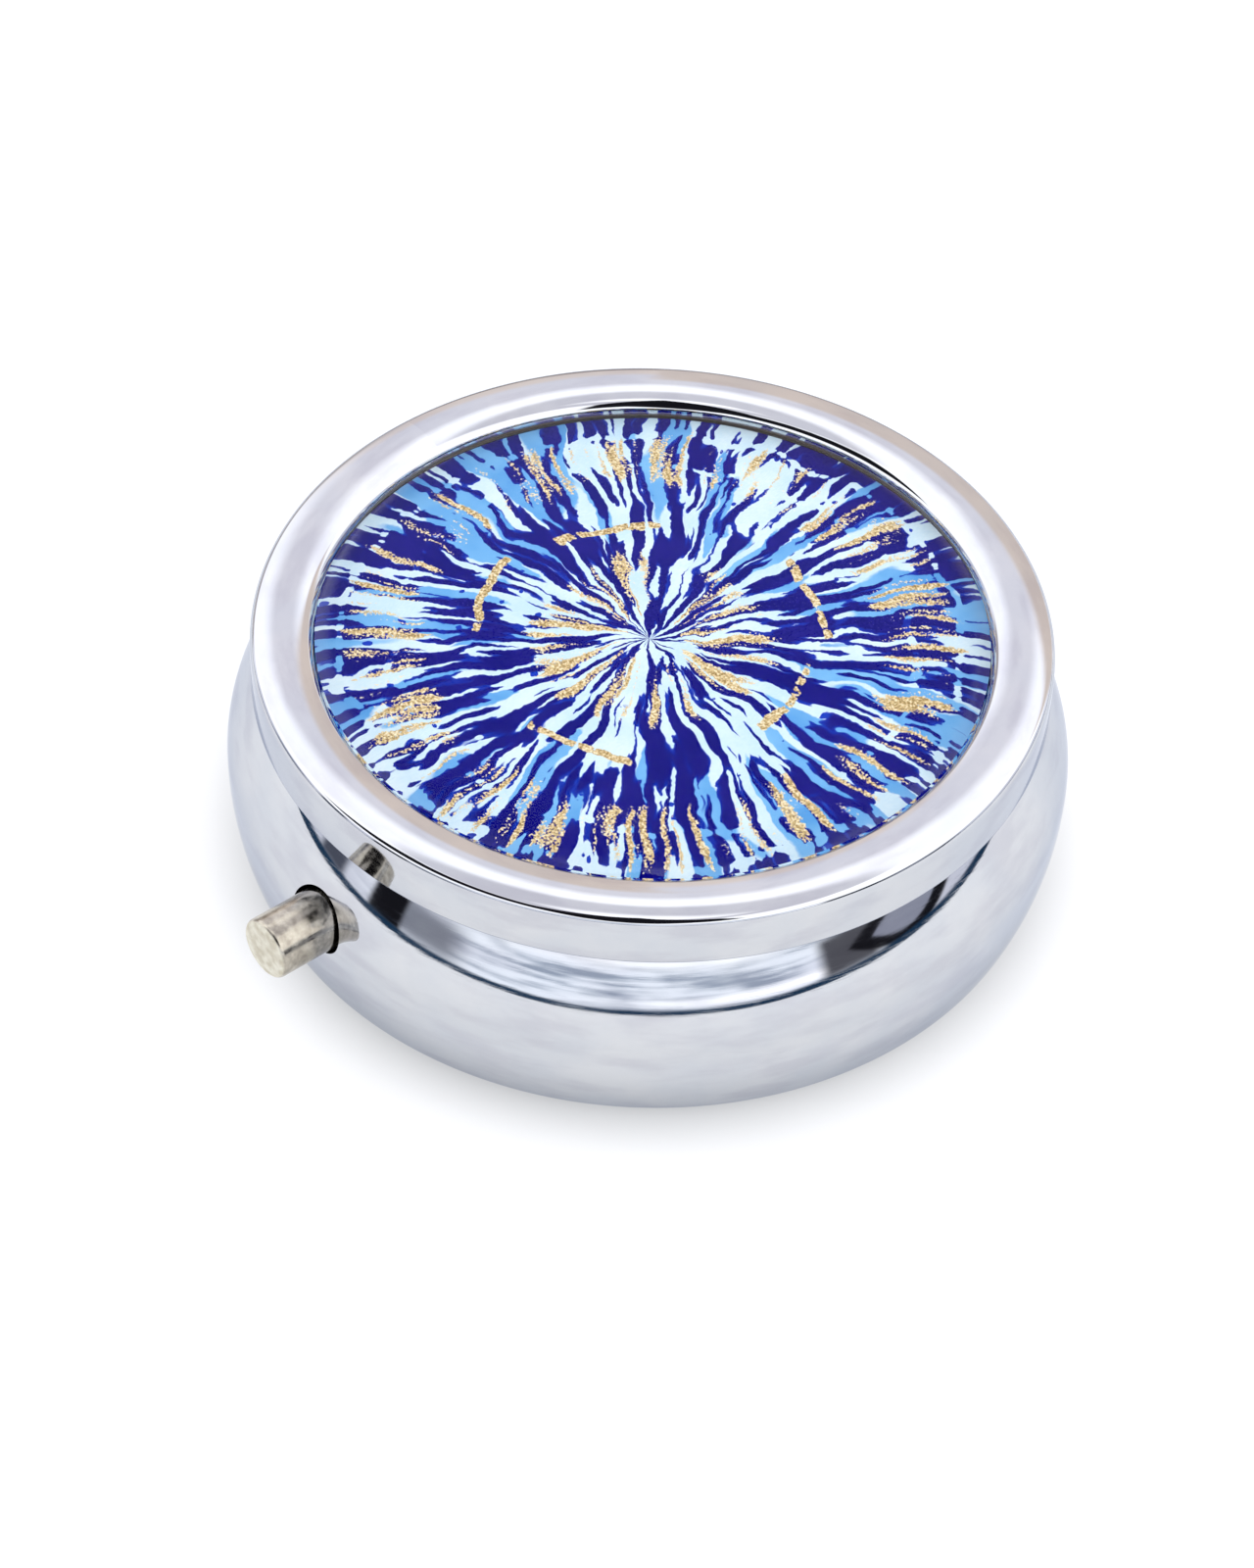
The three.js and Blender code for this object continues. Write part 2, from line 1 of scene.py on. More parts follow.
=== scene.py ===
# Looks of a round push-button pill box: chrome bowl and hinged lid, a printed disc under a low glass
# cabochon, a spring latch worked by a round button, and a moulded tray. Meshes are made in millimetres and
# scaled to metres when they are put in place. +Z is up, the button is on -Y and the hinge on +Y.
from math import asin, atan, cos, degrees, pi, radians, sin, tan

import bpy
import numpy as np
from mathutils import Matrix, Vector

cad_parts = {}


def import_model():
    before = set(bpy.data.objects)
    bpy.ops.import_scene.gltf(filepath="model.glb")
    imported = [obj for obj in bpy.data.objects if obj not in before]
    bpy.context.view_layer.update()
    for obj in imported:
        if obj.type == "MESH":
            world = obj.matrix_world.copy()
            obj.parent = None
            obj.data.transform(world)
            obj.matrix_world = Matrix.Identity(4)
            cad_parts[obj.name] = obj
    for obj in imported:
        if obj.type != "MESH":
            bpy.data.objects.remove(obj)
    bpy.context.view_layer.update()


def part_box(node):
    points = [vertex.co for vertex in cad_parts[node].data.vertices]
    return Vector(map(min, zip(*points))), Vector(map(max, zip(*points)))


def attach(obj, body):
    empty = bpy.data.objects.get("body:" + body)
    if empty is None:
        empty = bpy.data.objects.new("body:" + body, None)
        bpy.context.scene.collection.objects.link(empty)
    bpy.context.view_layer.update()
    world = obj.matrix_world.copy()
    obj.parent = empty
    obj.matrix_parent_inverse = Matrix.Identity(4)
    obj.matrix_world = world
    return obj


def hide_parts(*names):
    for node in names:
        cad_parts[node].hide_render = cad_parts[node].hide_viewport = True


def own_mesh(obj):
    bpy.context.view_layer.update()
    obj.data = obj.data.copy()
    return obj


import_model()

MM = 0.001


def span(node):
    """Lowest and highest corner of a CAD node at rest, in millimetres."""
    return [[round(c / MM, 4) for c in corner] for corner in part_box(node)]


# ---- Sizes that the frame gives ----
_, (BULGE_R, _, SHOULDER_TOP_Z) = span("base_shell")
(_, _, COLLAR_BOTTOM_Z), (COLLAR_R, _, COLLAR_TOP_Z) = span("base_collar")
(_, _, LID_BOTTOM_Z), (LID_R, _, RIM_CROWN_Z) = span("lid_frame")
(_, _, GLASS_BOTTOM_Z), (_, _, GLASS_TOP_Z) = span("cabochon")
(_, _, PAPER_BOTTOM_Z), (PAPER_R, _, PAPER_TOP_Z) = span("print_disc")
(_, _, GLUE_BOTTOM_Z), (GLUE_R, _, GLUE_TOP_Z) = span("glue_disc")
(_, PIN_FRONT_Y, PIN_LOW_Z), (PIN_HALF, PIN_BACK_Y, PIN_HIGH_Z) = span("hinge_pin")
PIN_Y = (PIN_FRONT_Y + PIN_BACK_Y) / 2
PIN_Z = (PIN_LOW_Z + PIN_HIGH_Z) / 2
PIN_R = (PIN_HIGH_Z - PIN_LOW_Z) / 2
(_, BUTTON_TIP_Y, BUTTON_LOW_Z), (BUTTON_R, TENON_END_Y, BUTTON_HIGH_Z) = span("push_button")
BUTTON_Z = (BUTTON_LOW_Z + BUTTON_HIGH_Z) / 2
(_, BASE_LEAF_Y, BASE_LEAF_LOW_Z), (BASE_LEAF_HALF, _, _) = span("base_hinge_leaf")
(_, LID_LEAF_Y, _), (LID_LEAF_HALF, _, LID_LEAF_TOP_Z) = span("lid_hinge_leaf")
(_, NOSE_Y, SLIDER_LOW_Z), (SLIDER_HALF, SLIDER_BACK_Y, SLIDER_TOP_Z) = span("latch_slider")
(_, WASHER_Y, _), (WASHER_R, WASHER_BACK_Y, _) = span("retaining_washer")
(_, CATCH_FRONT_Y, CATCH_LOW_Z), (CATCH_HALF, CATCH_BACK_Y, CATCH_TOP_Z) = span("lid_catch")
(_, _, BRACKET_LOW_Z), (_, BRACKET_BACK_Y, BRACKET_TOP_Z) = span("latch_bracket")
(_, TRAY_FRONT_Y, TRAY_BOTTOM_Z), (TRAY_FLANGE_R, _, TRAY_TOP_Z) = span("tray")

# ---- Sizes of the shapes themselves, as in the CAD parts ----
BULGE_Z = 7.0
LOWER_ARC_R = 16.0
FOOT_ARC_R = 1.8
UPPER_ARC_R = 6.0
UPPER_ARC_DEG = 22.5
SHOULDER_ARC_R = 18.0
SHELL_WALL = 0.6
SHELL_MOUTH_R = 22.9
MOUTH_UNDER_Z = 11.6
SHEET = 0.5
LID_WALL = 0.6
WELL_R = 20.06
GLASS_R = 20.0  # the cabochon is the common 40 mm size
WELL_FLOOR_Z = 13.8
KNUCKLE_R = 0.95
BORE_R = 0.5
LEAF_SHEET = 0.45
HINGE_NOTCH_HALF = 4.15
BUTTON_HEEL_Y = -23.9
BUTTON_HOLE_R = 2.15
STEM_R = 0.8
TENON_R = 0.5
TRAY_R = 20.8
TRAY_WALL = 0.8
TRAY_DIVIDER = 0.9
TRAY_DIVIDER_Y = 0.4

RING = 256  # facets round the large turned pieces
FINE = 48  # facets round the small ones
LARGE = 60.0  # longer than any piece, for cutting blocks
ON_PROFILE = 0.03  # how far a corner may lie from the profile and still take its normal
SAME_WAY = 0.8  # cosine of the most that its face may lean away from the profile's
SMOOTH_DEG = 30  # the profile is smooth where it bends by less than this
EDGE_DEG = 40  # faces that meet at more than this have an edge to be rounded
PLAY = 0.05  # between a hole and what goes through it, and at the ends of a spring


# ---- Outlines ----
def arc(centre, radius, from_deg, to_deg, steps):
    """Points along an arc, both ends included."""
    angles = [radians(from_deg + (to_deg - from_deg) * i / steps) for i in range(steps + 1)]
    return [(centre[0] + radius * cos(a), centre[1] + radius * sin(a)) for a in angles]


def rounded(corners, steps=6):
    """A path of straight lines with its corners rounded; a corner is (r, z) or (r, z, radius)."""
    path = []
    for i, (r, z, *size) in enumerate(corners):
        here = Vector((r, z))
        if not size or i in (0, len(corners) - 1):
            path.append((r, z))
            continue
        before = (Vector(corners[i - 1][:2]) - here).normalized()
        after = (Vector(corners[i + 1][:2]) - here).normalized()
        half = before.angle(after) / 2
        reach = size[0] / tan(half)
        centre = here + (before + after).normalized() * (size[0] / sin(half))
        start, end = here + before * reach - centre, here + after * reach - centre
        sweep_angle = start.angle_signed(end)
        for k in range(steps + 1):
            turned_by = Matrix.Rotation(-sweep_angle * k / steps, 2)
            path.append(tuple(centre + turned_by @ start))
    return path


def disc_outline(radius, low, high, edge=0.0, steps=3):
    """Outline of a disc from low to high, with its edges rounded."""
    size = (edge,) if edge else ()
    return rounded([(0, low), (radius, low, *size), (radius, high, *size), (0, high)], steps)


# ---- Meshes ----
def linked(name, data):
    """New object in the scene for this mesh, lamp or camera."""
    made = bpy.data.objects.new(name, data)
    bpy.context.scene.collection.objects.link(made)
    return made


def new_object(name, vertices, faces):
    mesh = bpy.data.meshes.new(name)
    mesh.from_pydata([tuple(v) for v in vertices], [], faces)
    mesh.validate()
    mesh.shade_smooth()
    return linked(name, mesh)


def turned(name, profile, facets=RING):
    """Closed body of revolution about Z. The profile runs anticlockwise, from axis to axis or in a ring."""
    angles = [2 * pi * j / facets for j in range(facets)]
    on_axis = profile[0][0] == 0
    vertices, rows = [], []
    for r, z in profile:
        if r == 0:
            rows.append([len(vertices)] * facets)
            vertices.append((0, 0, z))
        else:
            rows.append(list(range(len(vertices), len(vertices) + facets)))
            vertices += [(r * cos(a), r * sin(a), z) for a in angles]
    faces = []
    for low, high in zip(rows, rows[1:] + ([] if on_axis else rows[:1])):
        for j in range(facets):
            k = (j + 1) % facets
            faces.append(list(dict.fromkeys([low[j], low[k], high[k], high[j]])))
    return new_object(name, vertices, faces)


def follow_profile(obj, profile):
    """Sets each corner's normal from the profile, so that mirror-bright faces stay clean round cuts."""
    closed = profile if profile[0][0] == 0 else [*profile, profile[0]]
    points = np.array(closed)
    start, along = points[:-1], np.diff(points, axis=0)
    length = np.linalg.norm(along, axis=1)
    facing = np.stack([along[:, 1], -along[:, 0]], 1) / length[:, None]
    before, after = np.roll(facing, 1, 0), np.roll(facing, -1, 0)
    smooth_limit = cos(radians(SMOOTH_DEG))
    first = np.where(((facing * before).sum(1) > smooth_limit)[:, None], facing + before, facing)
    last = np.where(((facing * after).sum(1) > smooth_limit)[:, None], facing + after, facing)

    mesh = obj.data
    places = np.empty(len(mesh.vertices) * 3)
    mesh.vertices.foreach_get("co", places)
    corner_vertex = np.empty(len(mesh.loops), int)
    mesh.loops.foreach_get("vertex_index", corner_vertex)
    sizes = [face.loop_total for face in mesh.polygons]
    flat = np.repeat([tuple(face.normal) for face in mesh.polygons], sizes, axis=0)
    place = places.reshape(-1, 3)[corner_vertex]
    r = np.hypot(place[:, 0], place[:, 1])
    radial = np.where(r[:, None] > 1e-6, place[:, :2] / np.maximum(r, 1e-6)[:, None], flat[:, :2])
    in_plane = np.stack([(radial * flat[:, :2]).sum(1), flat[:, 2]], 1)
    best = np.full(len(place), ON_PROFILE)
    normals = flat.copy()
    for k in range(len(start)):
        share = (((np.stack([r, place[:, 2]], 1) - start[k]) @ along[k]) / length[k] ** 2).clip(0, 1)
        foot = start[k] + share[:, None] * along[k]
        gap = np.hypot(foot[:, 0] - r, foot[:, 1] - place[:, 2])
        nearer = (gap < best) & (in_plane @ facing[k] > SAME_WAY)
        lean = first[k] * (1 - share[:, None]) + last[k] * share[:, None]
        lean /= np.linalg.norm(lean, axis=1)[:, None]
        normals[nearer] = np.column_stack([radial * lean[:, :1], lean[:, 1]])[nearer]
        best[nearer] = gap[nearer]
    mesh.normals_split_custom_set(normals)


def block(name, low, high):
    """Box from its low and high corners."""
    corners = [(x, y, z) for x in (low[0], high[0]) for y in (low[1], high[1]) for z in (low[2], high[2])]
    faces = [(0, 1, 3, 2), (4, 6, 7, 5), (0, 4, 5, 1), (2, 3, 7, 6), (0, 2, 6, 4), (1, 5, 7, 3)]
    return new_object(name, corners, faces)


def slab(name, half, ys, zs):
    """Box as wide on either side of x = 0, between two y's and two z's."""
    return block(name, (-half, ys[0], zs[0]), (half, ys[1], zs[1]))


def place_along(obj, direction, origin):
    """Turns a body made about +Z so that its axis points along direction, from origin."""
    turn = Vector(direction).to_track_quat("Z", "Y").to_matrix().to_4x4()
    obj.data.transform(Matrix.Translation(origin) @ turn)
    return obj


def rod(name, radius, start, end, edge=0.0, facets=FINE):
    """Round bar from start to end, with its edges rounded."""
    start, end = Vector(start), Vector(end)
    made = turned(name, disc_outline(radius, 0, (end - start).length, edge), facets)
    return place_along(made, end - start, start)


def drill(radius, from_y, to_y):
    """Cutter for a hole on the button's axis."""
    return rod("hole", radius, (0, from_y, BUTTON_Z), (0, to_y, BUTTON_Z))


def sector(name, radii, heights, from_deg, to_deg, steps=24):
    """Part of a flat-sided ring about Z."""
    outline = arc((0, 0), radii[1], from_deg, to_deg, steps) + arc((0, 0), radii[0], to_deg, from_deg, steps)
    return extruded(name, outline, heights)


def extruded(name, outline, heights):
    """Upright prism on an anticlockwise outline."""
    count = len(outline)
    vertices = [(x, y, z) for z in heights for x, y in outline]
    sides = [(i, (i + 1) % count, count + (i + 1) % count, count + i) for i in range(count)]
    return new_object(name, vertices, [tuple(reversed(range(count))), tuple(range(count, 2 * count)), *sides])


def helix(turns, per_turn, radius):
    """Share of the length and the two offsets from the axis, point by point."""
    for i in range(per_turn * turns + 1):
        angle = 2 * pi * i / per_turn
        yield i / per_turn / turns, radius * cos(angle), radius * sin(angle)


def tube(name, points, radius, sides=14):
    """Wire of round section along a list of points, closed at both ends."""
    points = [Vector(p) for p in points]
    tangent = (points[1] - points[0]).normalized()
    side = tangent.orthogonal().normalized()
    vertices = []
    for i, point in enumerate(points):
        ahead, behind = points[min(i + 1, len(points) - 1)], points[max(i - 1, 0)]
        turn = tangent.rotation_difference((ahead - behind).normalized())
        tangent = turn @ tangent
        side = turn @ side
        across = tangent.cross(side)
        for k in range(sides):
            angle = 2 * pi * k / sides
            vertices.append(point + radius * (cos(angle) * side + sin(angle) * across))
    faces = [tuple(reversed(range(sides)))]
    for row in range(len(points) - 1):
        for k in range(sides):
            a, b = row * sides + k, row * sides + (k + 1) % sides
            faces.append((a, b, b + sides, a + sides))
    faces.append(tuple(range(len(vertices) - sides, len(vertices))))
    return new_object(name, vertices, faces)


def apply_modifiers(obj):
    graph = bpy.context.evaluated_depsgraph_get()
    made = bpy.data.meshes.new_from_object(obj.evaluated_get(graph))
    obj.modifiers.clear()
    obj.data = made


def combine(obj, operation, tools):
    """Joins tools to obj or cuts them from it, and removes the tools."""
    for tool in tools:
        step = obj.modifiers.new("combine", "BOOLEAN")
        step.operation = operation
        step.solver = "EXACT"
        step.object = tool
        apply_modifiers(obj)
        bpy.data.objects.remove(tool)
    return obj


def join(obj, *tools):
    return combine(obj, "UNION", tools)


def cut(obj, *tools):
    return combine(obj, "DIFFERENCE", tools)


def round_edges(obj, width, segments):
    edges = obj.modifiers.new("edges", "BEVEL")
    edges.width = width
    edges.segments = segments
    edges.limit_method = "ANGLE"
    edges.angle_limit = radians(EDGE_DEG)
    apply_modifiers(obj)


def soften(obj, width, segments=3):
    """Rounds the hard edges and keeps the flat faces flat to the light."""
    round_edges(obj, width, segments)
    obj.data.shade_smooth()
    weighted = obj.modifiers.new("normals", "WEIGHTED_NORMAL")
    weighted.keep_sharp = True
    apply_modifiers(obj)
    return obj


def put(obj, body, material, slot, *nodes):
    """Scales a finished mesh to metres, gives it its material and body, and hides the CAD nodes it stands in
    for; slot is not used.
    """
    obj.data.transform(Matrix.Scale(MM, 4))
    obj.data.materials.clear()
    obj.data.materials.append(material)
    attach(obj, body)
    if nodes:
        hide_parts(*nodes)
    return obj


# ---- Material nodes ----
def feed(socket, value):
    """Links another node's output to an input, or sets the input to a value."""
    if isinstance(value, bpy.types.NodeSocket):
        socket.id_data.links.new(value, socket)
    else:
        socket.default_value = value


def add(tree, kind, inputs=None, **settings):
    """New shader node with its settings and inputs."""
    made = tree.nodes.new("ShaderNode" + kind)
    for key, value in settings.items():
        setattr(made, key, value)
    for key, value in (inputs or {}).items():
        feed(made.inputs[key], value)
    return made


def after(kind, inputs, **settings):
    """New node in the tree of the outputs that it takes in."""
    tree = next(value.id_data for value in inputs.values() if isinstance(value, bpy.types.NodeSocket))
    return add(tree, kind, inputs, **settings)


def calc(operation, *values):
    return after("Math", dict(enumerate(values)), operation=operation).outputs[0]


def plus(first, second):
    return calc("ADD", first, second)


def times(*shares):
    made = shares[0]
    for share in shares[1:]:
        made = calc("MULTIPLY", made, share)
    return made


def vector(operation, *vectors):
    """Vector maths, which gives a number for a length or a dot product."""
    made = after("VectorMath", dict(enumerate(vectors)), operation=operation)
    return made.outputs["Value" if operation in ("LENGTH", "DOT_PRODUCT") else "Vector"]


def split(xyz):
    return after("SeparateXYZ", {0: xyz}).outputs


def vector_of(*parts):
    return after("CombineXYZ", dict(enumerate(parts))).outputs[0]


def remap(value, from_low, from_high, to_low=0.0, to_high=1.0, smooth=False):
    """Value carried from one range to another, held at the ends."""
    ends = {"From Min": from_low, "From Max": from_high, "To Min": to_low, "To Max": to_high}
    kind = "SMOOTHSTEP" if smooth else "LINEAR"
    return after("MapRange", {"Value": value, **ends}, interpolation_type=kind).outputs[0]


def within(value, low, high, soft):
    """1 between low and high, with soft ends."""
    up = remap(value, low - soft, low + soft, smooth=True)
    return times(up, remap(value, high - soft, high + soft, 1.0, 0.0, smooth=True))


def blend(share, first, second):
    """Number between first and second."""
    return after("Mix", {0: share, 2: first, 3: second}).outputs[0]


def mixed(share, first, second):
    """Colour between first and second."""
    ends = [end if isinstance(end, bpy.types.NodeSocket) else (*end, 1) for end in (first, second)]
    return after("Mix", {0: share, 6: ends[0], 7: ends[1]}, data_type="RGBA").outputs[2]


def noise(where, detail, scale=1.0):
    """A number and a colour of smooth noise."""
    return after("TexNoise", {"Vector": where, "Scale": scale, "Detail": detail}).outputs


def grain(where, size_mm, detail=2.0, stretch=(1, 1, 1)):
    """Noise from 0 to 1 whose features are about size_mm wide; stretch makes them longer along an axis."""
    scale = [1 / (size_mm * MM * s) for s in stretch]
    return noise(vector("MULTIPLY", where, scale), detail)[0]


def new_material(name):
    material = bpy.data.materials.new(name)
    material.use_nodes = True
    tree = material.node_tree
    return material, tree.nodes["Principled BSDF"], add(tree, "TexCoord").outputs["Object"]


def plug(shader, **values):
    """Sets inputs of a shader, named with _ for a space."""
    for key, value in values.items():
        feed(shader.inputs[key.replace("_", " ")], value)


def raised(height, depth_mm, strength=1.0, normal=None):
    """Bump from a height of 0 to 1 that is depth_mm deep."""
    inputs = {"Height": height, "Distance": depth_mm * MM, "Strength": strength}
    if normal is not None:
        inputs["Normal"] = normal
    return after("Bump", inputs).outputs[0]


def around_axis(where):
    """Coordinates along the round: distance from the axis, length round the box axis, height."""
    x, y, z = split(where)
    radius = calc("SQRT", plus(times(x, x), times(y, y)))
    turn = times(calc("ARCTAN2", y, x), LID_R * MM)
    return vector_of(radius, turn, z)


def chrome():
    """Bright plate on stamped sheet: slight waves, haze, hairlines, and darker patches in its colour outside
    the well.
    """
    material, shader, where = new_material("chrome_plate")
    round_wise = around_axis(where)
    haze = grain(where, 4.0, 4)
    fine = remap(grain(round_wise, 0.07, 3, (1, 40, 1)), 0.56, 0.72)
    rough = plus(remap(haze, 0.4, 0.75, 0.035, 0.075), times(fine, 0.05))
    tint = mixed(remap(haze, 0.35, 0.65), (0.595, 0.615, 0.65), (0.645, 0.655, 0.675))
    out = split(round_wise)[0]
    outside = remap(out, (WELL_R - 3) * MM, WELL_R * MM, 0.0, 0.55, smooth=True)
    # Darker patches in the plate's colour, on the bowl and rim outside the well.
    patch_noise = grain(round_wise, 1.5, 4, (1, 3.5, 1))
    darker_patch = times(remap(patch_noise, 0.42, 0.70, smooth=True), outside)
    tint = mixed(darker_patch, tint, (0.50, 0.50, 0.55))
    waves = raised(grain(where, 7.0, 1), 0.012)
    scratched = raised(fine, 0.0006, 0.35, waves)
    plug(shader, Base_Color=tint, Metallic=1.0, Roughness=rough, Normal=scratched)
    plug(shader, Specular_Tint=(0.74, 0.77, 0.84, 1))
    return material


def nickel():
    """Worn turned button: warm metal, drawn lines along its length, a frosted pale end."""
    material, shader, where = new_material("button_nickel")
    y = split(where)[1]
    end = remap(y, (BUTTON_TIP_Y + 0.10) * MM, (BUTTON_TIP_Y + 0.22) * MM, 1.0, 0.0, smooth=True)
    worn = grain(where, 0.55, 4)
    drawn = grain(where, 0.10, 2, (1, 14, 1))
    side = mixed(remap(worn, 0.3, 0.7), (0.31, 0.28, 0.235), (0.56, 0.52, 0.44))
    face = mixed(remap(worn, 0.35, 0.65), (0.58, 0.53, 0.41), (0.80, 0.77, 0.66))
    side_rough = plus(remap(worn, 0.35, 0.7, 0.08, 0.24), times(drawn, 0.08))
    rough = plus(times(end, 0.45), side_rough)
    metal = calc("SUBTRACT", 1.0, times(end, 0.8))
    pits = raised(plus(drawn, worn), 0.006, 0.5)
    plug(shader, Base_Color=mixed(end, side, face), Normal=pits, Metallic=metal, Roughness=rough)
    return material


def rolled_steel(name, dark, light, rough_low, rough_high, line_mm, stretch):
    """Plain sheet or wire with rolling lines and a dull, uneven sheen."""
    material, shader, where = new_material(name)
    lines = grain(where, line_mm, 3, stretch)
    cloud = grain(where, 1.5, 3)
    rough = remap(plus(lines, cloud), 0.7, 1.3, rough_low, rough_high)
    plug(shader, Base_Color=mixed(cloud, dark, light), Metallic=1.0, Roughness=rough)
    plug(shader, Normal=raised(lines, 0.004, 0.4))
    return material


def tray_plastic():
    """Moulded white plastic: satin skin, slight sink marks, light let in a little."""
    material, shader, where = new_material("tray_plastic")
    skin = grain(where, 0.12, 3)
    sink = grain(where, 9.0, 1)
    colour = mixed(sink, (0.80, 0.81, 0.80), (0.88, 0.88, 0.86))
    bumps = raised(skin, 0.003, 0.3, raised(sink, 0.03, 0.6))
    plug(shader, Base_Color=colour, Roughness=remap(skin, 0.3, 0.7, 0.28, 0.42), Normal=bumps)
    plug(shader, Subsurface_Weight=0.25, Subsurface_Scale=0.8 * MM)
    return material


def glue_film():
    """Dried adhesive, cloudy and slightly yellow."""
    material, shader, where = new_material("glue_film")
    cloud = grain(where, 1.2, 3)
    colour = mixed(cloud, (0.70, 0.69, 0.62), (0.84, 0.83, 0.78))
    plug(shader, Base_Color=colour, Roughness=remap(cloud, 0.3, 0.7, 0.3, 0.6), IOR=1.45)
    return material


# Shares of the full reflection. The dome has little, so that the white studio doesn't veil the print.
DOME_GLOSS = (0.06, 0.06, 0.065)
EDGE_GLOSS = (0.7, 0.7, 0.72)


def glass():
    """Clear glass, glued to the print: its underside has no reflection, and daylight passes freely."""
    material, shader, where = new_material("cabochon_glass")
    smear = grain(where, 3.0, 4)
    out = vector("LENGTH", vector("MULTIPLY", where, (1, 1, 0)))
    edge = remap(out, (GLASS_R - 1.2) * MM, (GLASS_R - 0.3) * MM, smooth=True)
    plug(shader, Base_Color=mixed(smear, (0.965, 0.98, 0.985), (0.985, 0.99, 0.995)))
    plug(shader, Roughness=remap(smear, 0.45, 0.8, 0.0, 0.03), IOR=1.5, Transmission_Weight=1.0)
    plug(shader, Specular_Tint=mixed(edge, DOME_GLOSS, EDGE_GLOSS))
    glued = calc("LESS_THAN", split(where)[2], (GLASS_BOTTOM_Z + 0.1) * MM)
    tree = material.node_tree
    rays = add(tree, "LightPath").outputs
    daylight = calc("MAXIMUM", rays["Is Shadow Ray"], rays["Is Diffuse Ray"])
    through = calc("MAXIMUM", daylight, glued)
    clear = add(tree, "BsdfTransparent", {"Color": (0.96, 0.98, 0.985, 1)}).outputs[0]
    both = after("MixShader", {0: through, 1: shader.outputs[0], 2: clear}).outputs[0]
    tree.links.new(both, tree.nodes["Material Output"].inputs["Surface"])
    return material


# ---- Print: a plain burst of brush strokes, even all round, in three inks on pale blue paper ----
WAVE = 0.27  # noise that is this many units from its centre has one dark streak in a full turn
# Waviness of the lines: how wide the waves are and how far they reach.
WAVES = [(4.5, 2.0), (0.7, 0.30), (0.25, 0.16)]
# Navy strokes: from this distance on, so many in a full turn, each about so long.
NAVY_RINGS = [(0, 19, 4.0), (3.0, 34, 5.4), (6.6, 52, 6.2), (11.5, 74, 6.6), (17.5, 100, 7.0)]
# Gold arcs: distance from the centre and the angles they run between, each a golden angle on from the last.
GOLDEN_DEG = 137.5
GOLD_ARCS = [(9.3 + 0.35 * i, GOLDEN_DEG * i, GOLDEN_DEG * i + 40) for i in range(5)]
ARC_HALF = 0.36
PAPER_TONES = (0.58, 0.75, 0.87), (0.76, 0.86, 0.91)
SKY_TONES = (0.22, 0.50, 0.82), (0.10, 0.33, 0.70)
NAVY_TONES = (0.001, 0.001, 0.165), (0.010, 0.007, 0.22)
NAVY_EDGE = (0.006, 0.040, 0.46)
GOLD_TONES = (0.34, 0.20, 0.06), (0.78, 0.56, 0.28), (0.95, 0.84, 0.60)


class Burst:
    """Directions and distances from the burst's centre on the paper, on slightly uneven lines."""

    def __init__(self, where):
        place = vector("MULTIPLY", where, (1 / MM, 1 / MM, 0))
        for size, reach in WAVES:
            uneven = vector("SUBTRACT", noise(place, 1.0, 1 / size)[1], (0.5, 0.5, 0.5))
            place = vector("ADD", place, vector("MULTIPLY", uneven, (reach, reach, 0)))
        self.place = place
        self.distance = vector("LENGTH", place)
        self.aim = vector("NORMALIZE", place)

    def streaks(self, around, length, seed):
        """Noise drawn out along the rays: about so many streaks in a full turn, each about length mm."""
        spread = WAVE * around
        out = plus(calc("DIVIDE", self.distance, length), 10.0 * seed)
        flat = vector("MULTIPLY", self.aim, (spread, spread, 0))
        return noise(vector("ADD", flat, vector_of(0, 0, out)), 1.0)[0]

    def sector(self, low, high, soft=1.5):
        """1 between two angles."""
        middle = radians((low + high) / 2)
        ahead = (cos(middle), sin(middle), 0)
        turned_by = calc("ARCCOSINE", vector("DOT_PRODUCT", self.aim, ahead))
        half = (high - low) / 2
        return remap(calc("DEGREES", turned_by), half - soft, half + soft, 1.0, 0.0)

    def belt(self, near, far, soft=0.6):
        """1 between two distances."""
        return within(self.distance, near, far, soft)

    def gaps(self, pitch, width):
        """1 in narrow, broken rings one pitch apart."""
        swing = times(self.streaks(16, 40.0, 41), 0.9)
        share = calc("FRACT", plus(calc("DIVIDE", self.distance, pitch), swing))
        off = calc("ABSOLUTE", calc("SUBTRACT", share, 0.5))
        edge = 0.5 - width / pitch / 2
        return remap(off, edge - 0.03, edge + 0.03)


def navy_field(burst):
    """Above a half where there is navy: long strokes, cut into dashes here and there near the rim."""
    value = None
    for seed, (start, around, length) in enumerate(NAVY_RINGS):
        field = burst.streaks(around, length, seed)
        share = remap(burst.distance, start - 0.9, start + 0.9)
        value = blend(share, value, field) if seed else field
    cuts = times(remap(burst.distance, 12, 17), burst.gaps(2.8, 0.45), 0.10)
    return calc("SUBTRACT", value, cuts)


def spots(burst):
    """1 in small round spots thrown off the brush."""
    cells = after("TexVoronoi", {"Vector": burst.place, "Scale": 0.9}, feature="F1").outputs
    chance, _, size = split(cells["Color"])
    inside = calc("LESS_THAN", cells["Distance"], remap(size, 0, 1, 0.05, 0.2))
    return times(inside, calc("GREATER_THAN", chance, 0.7), burst.belt(6, 22))


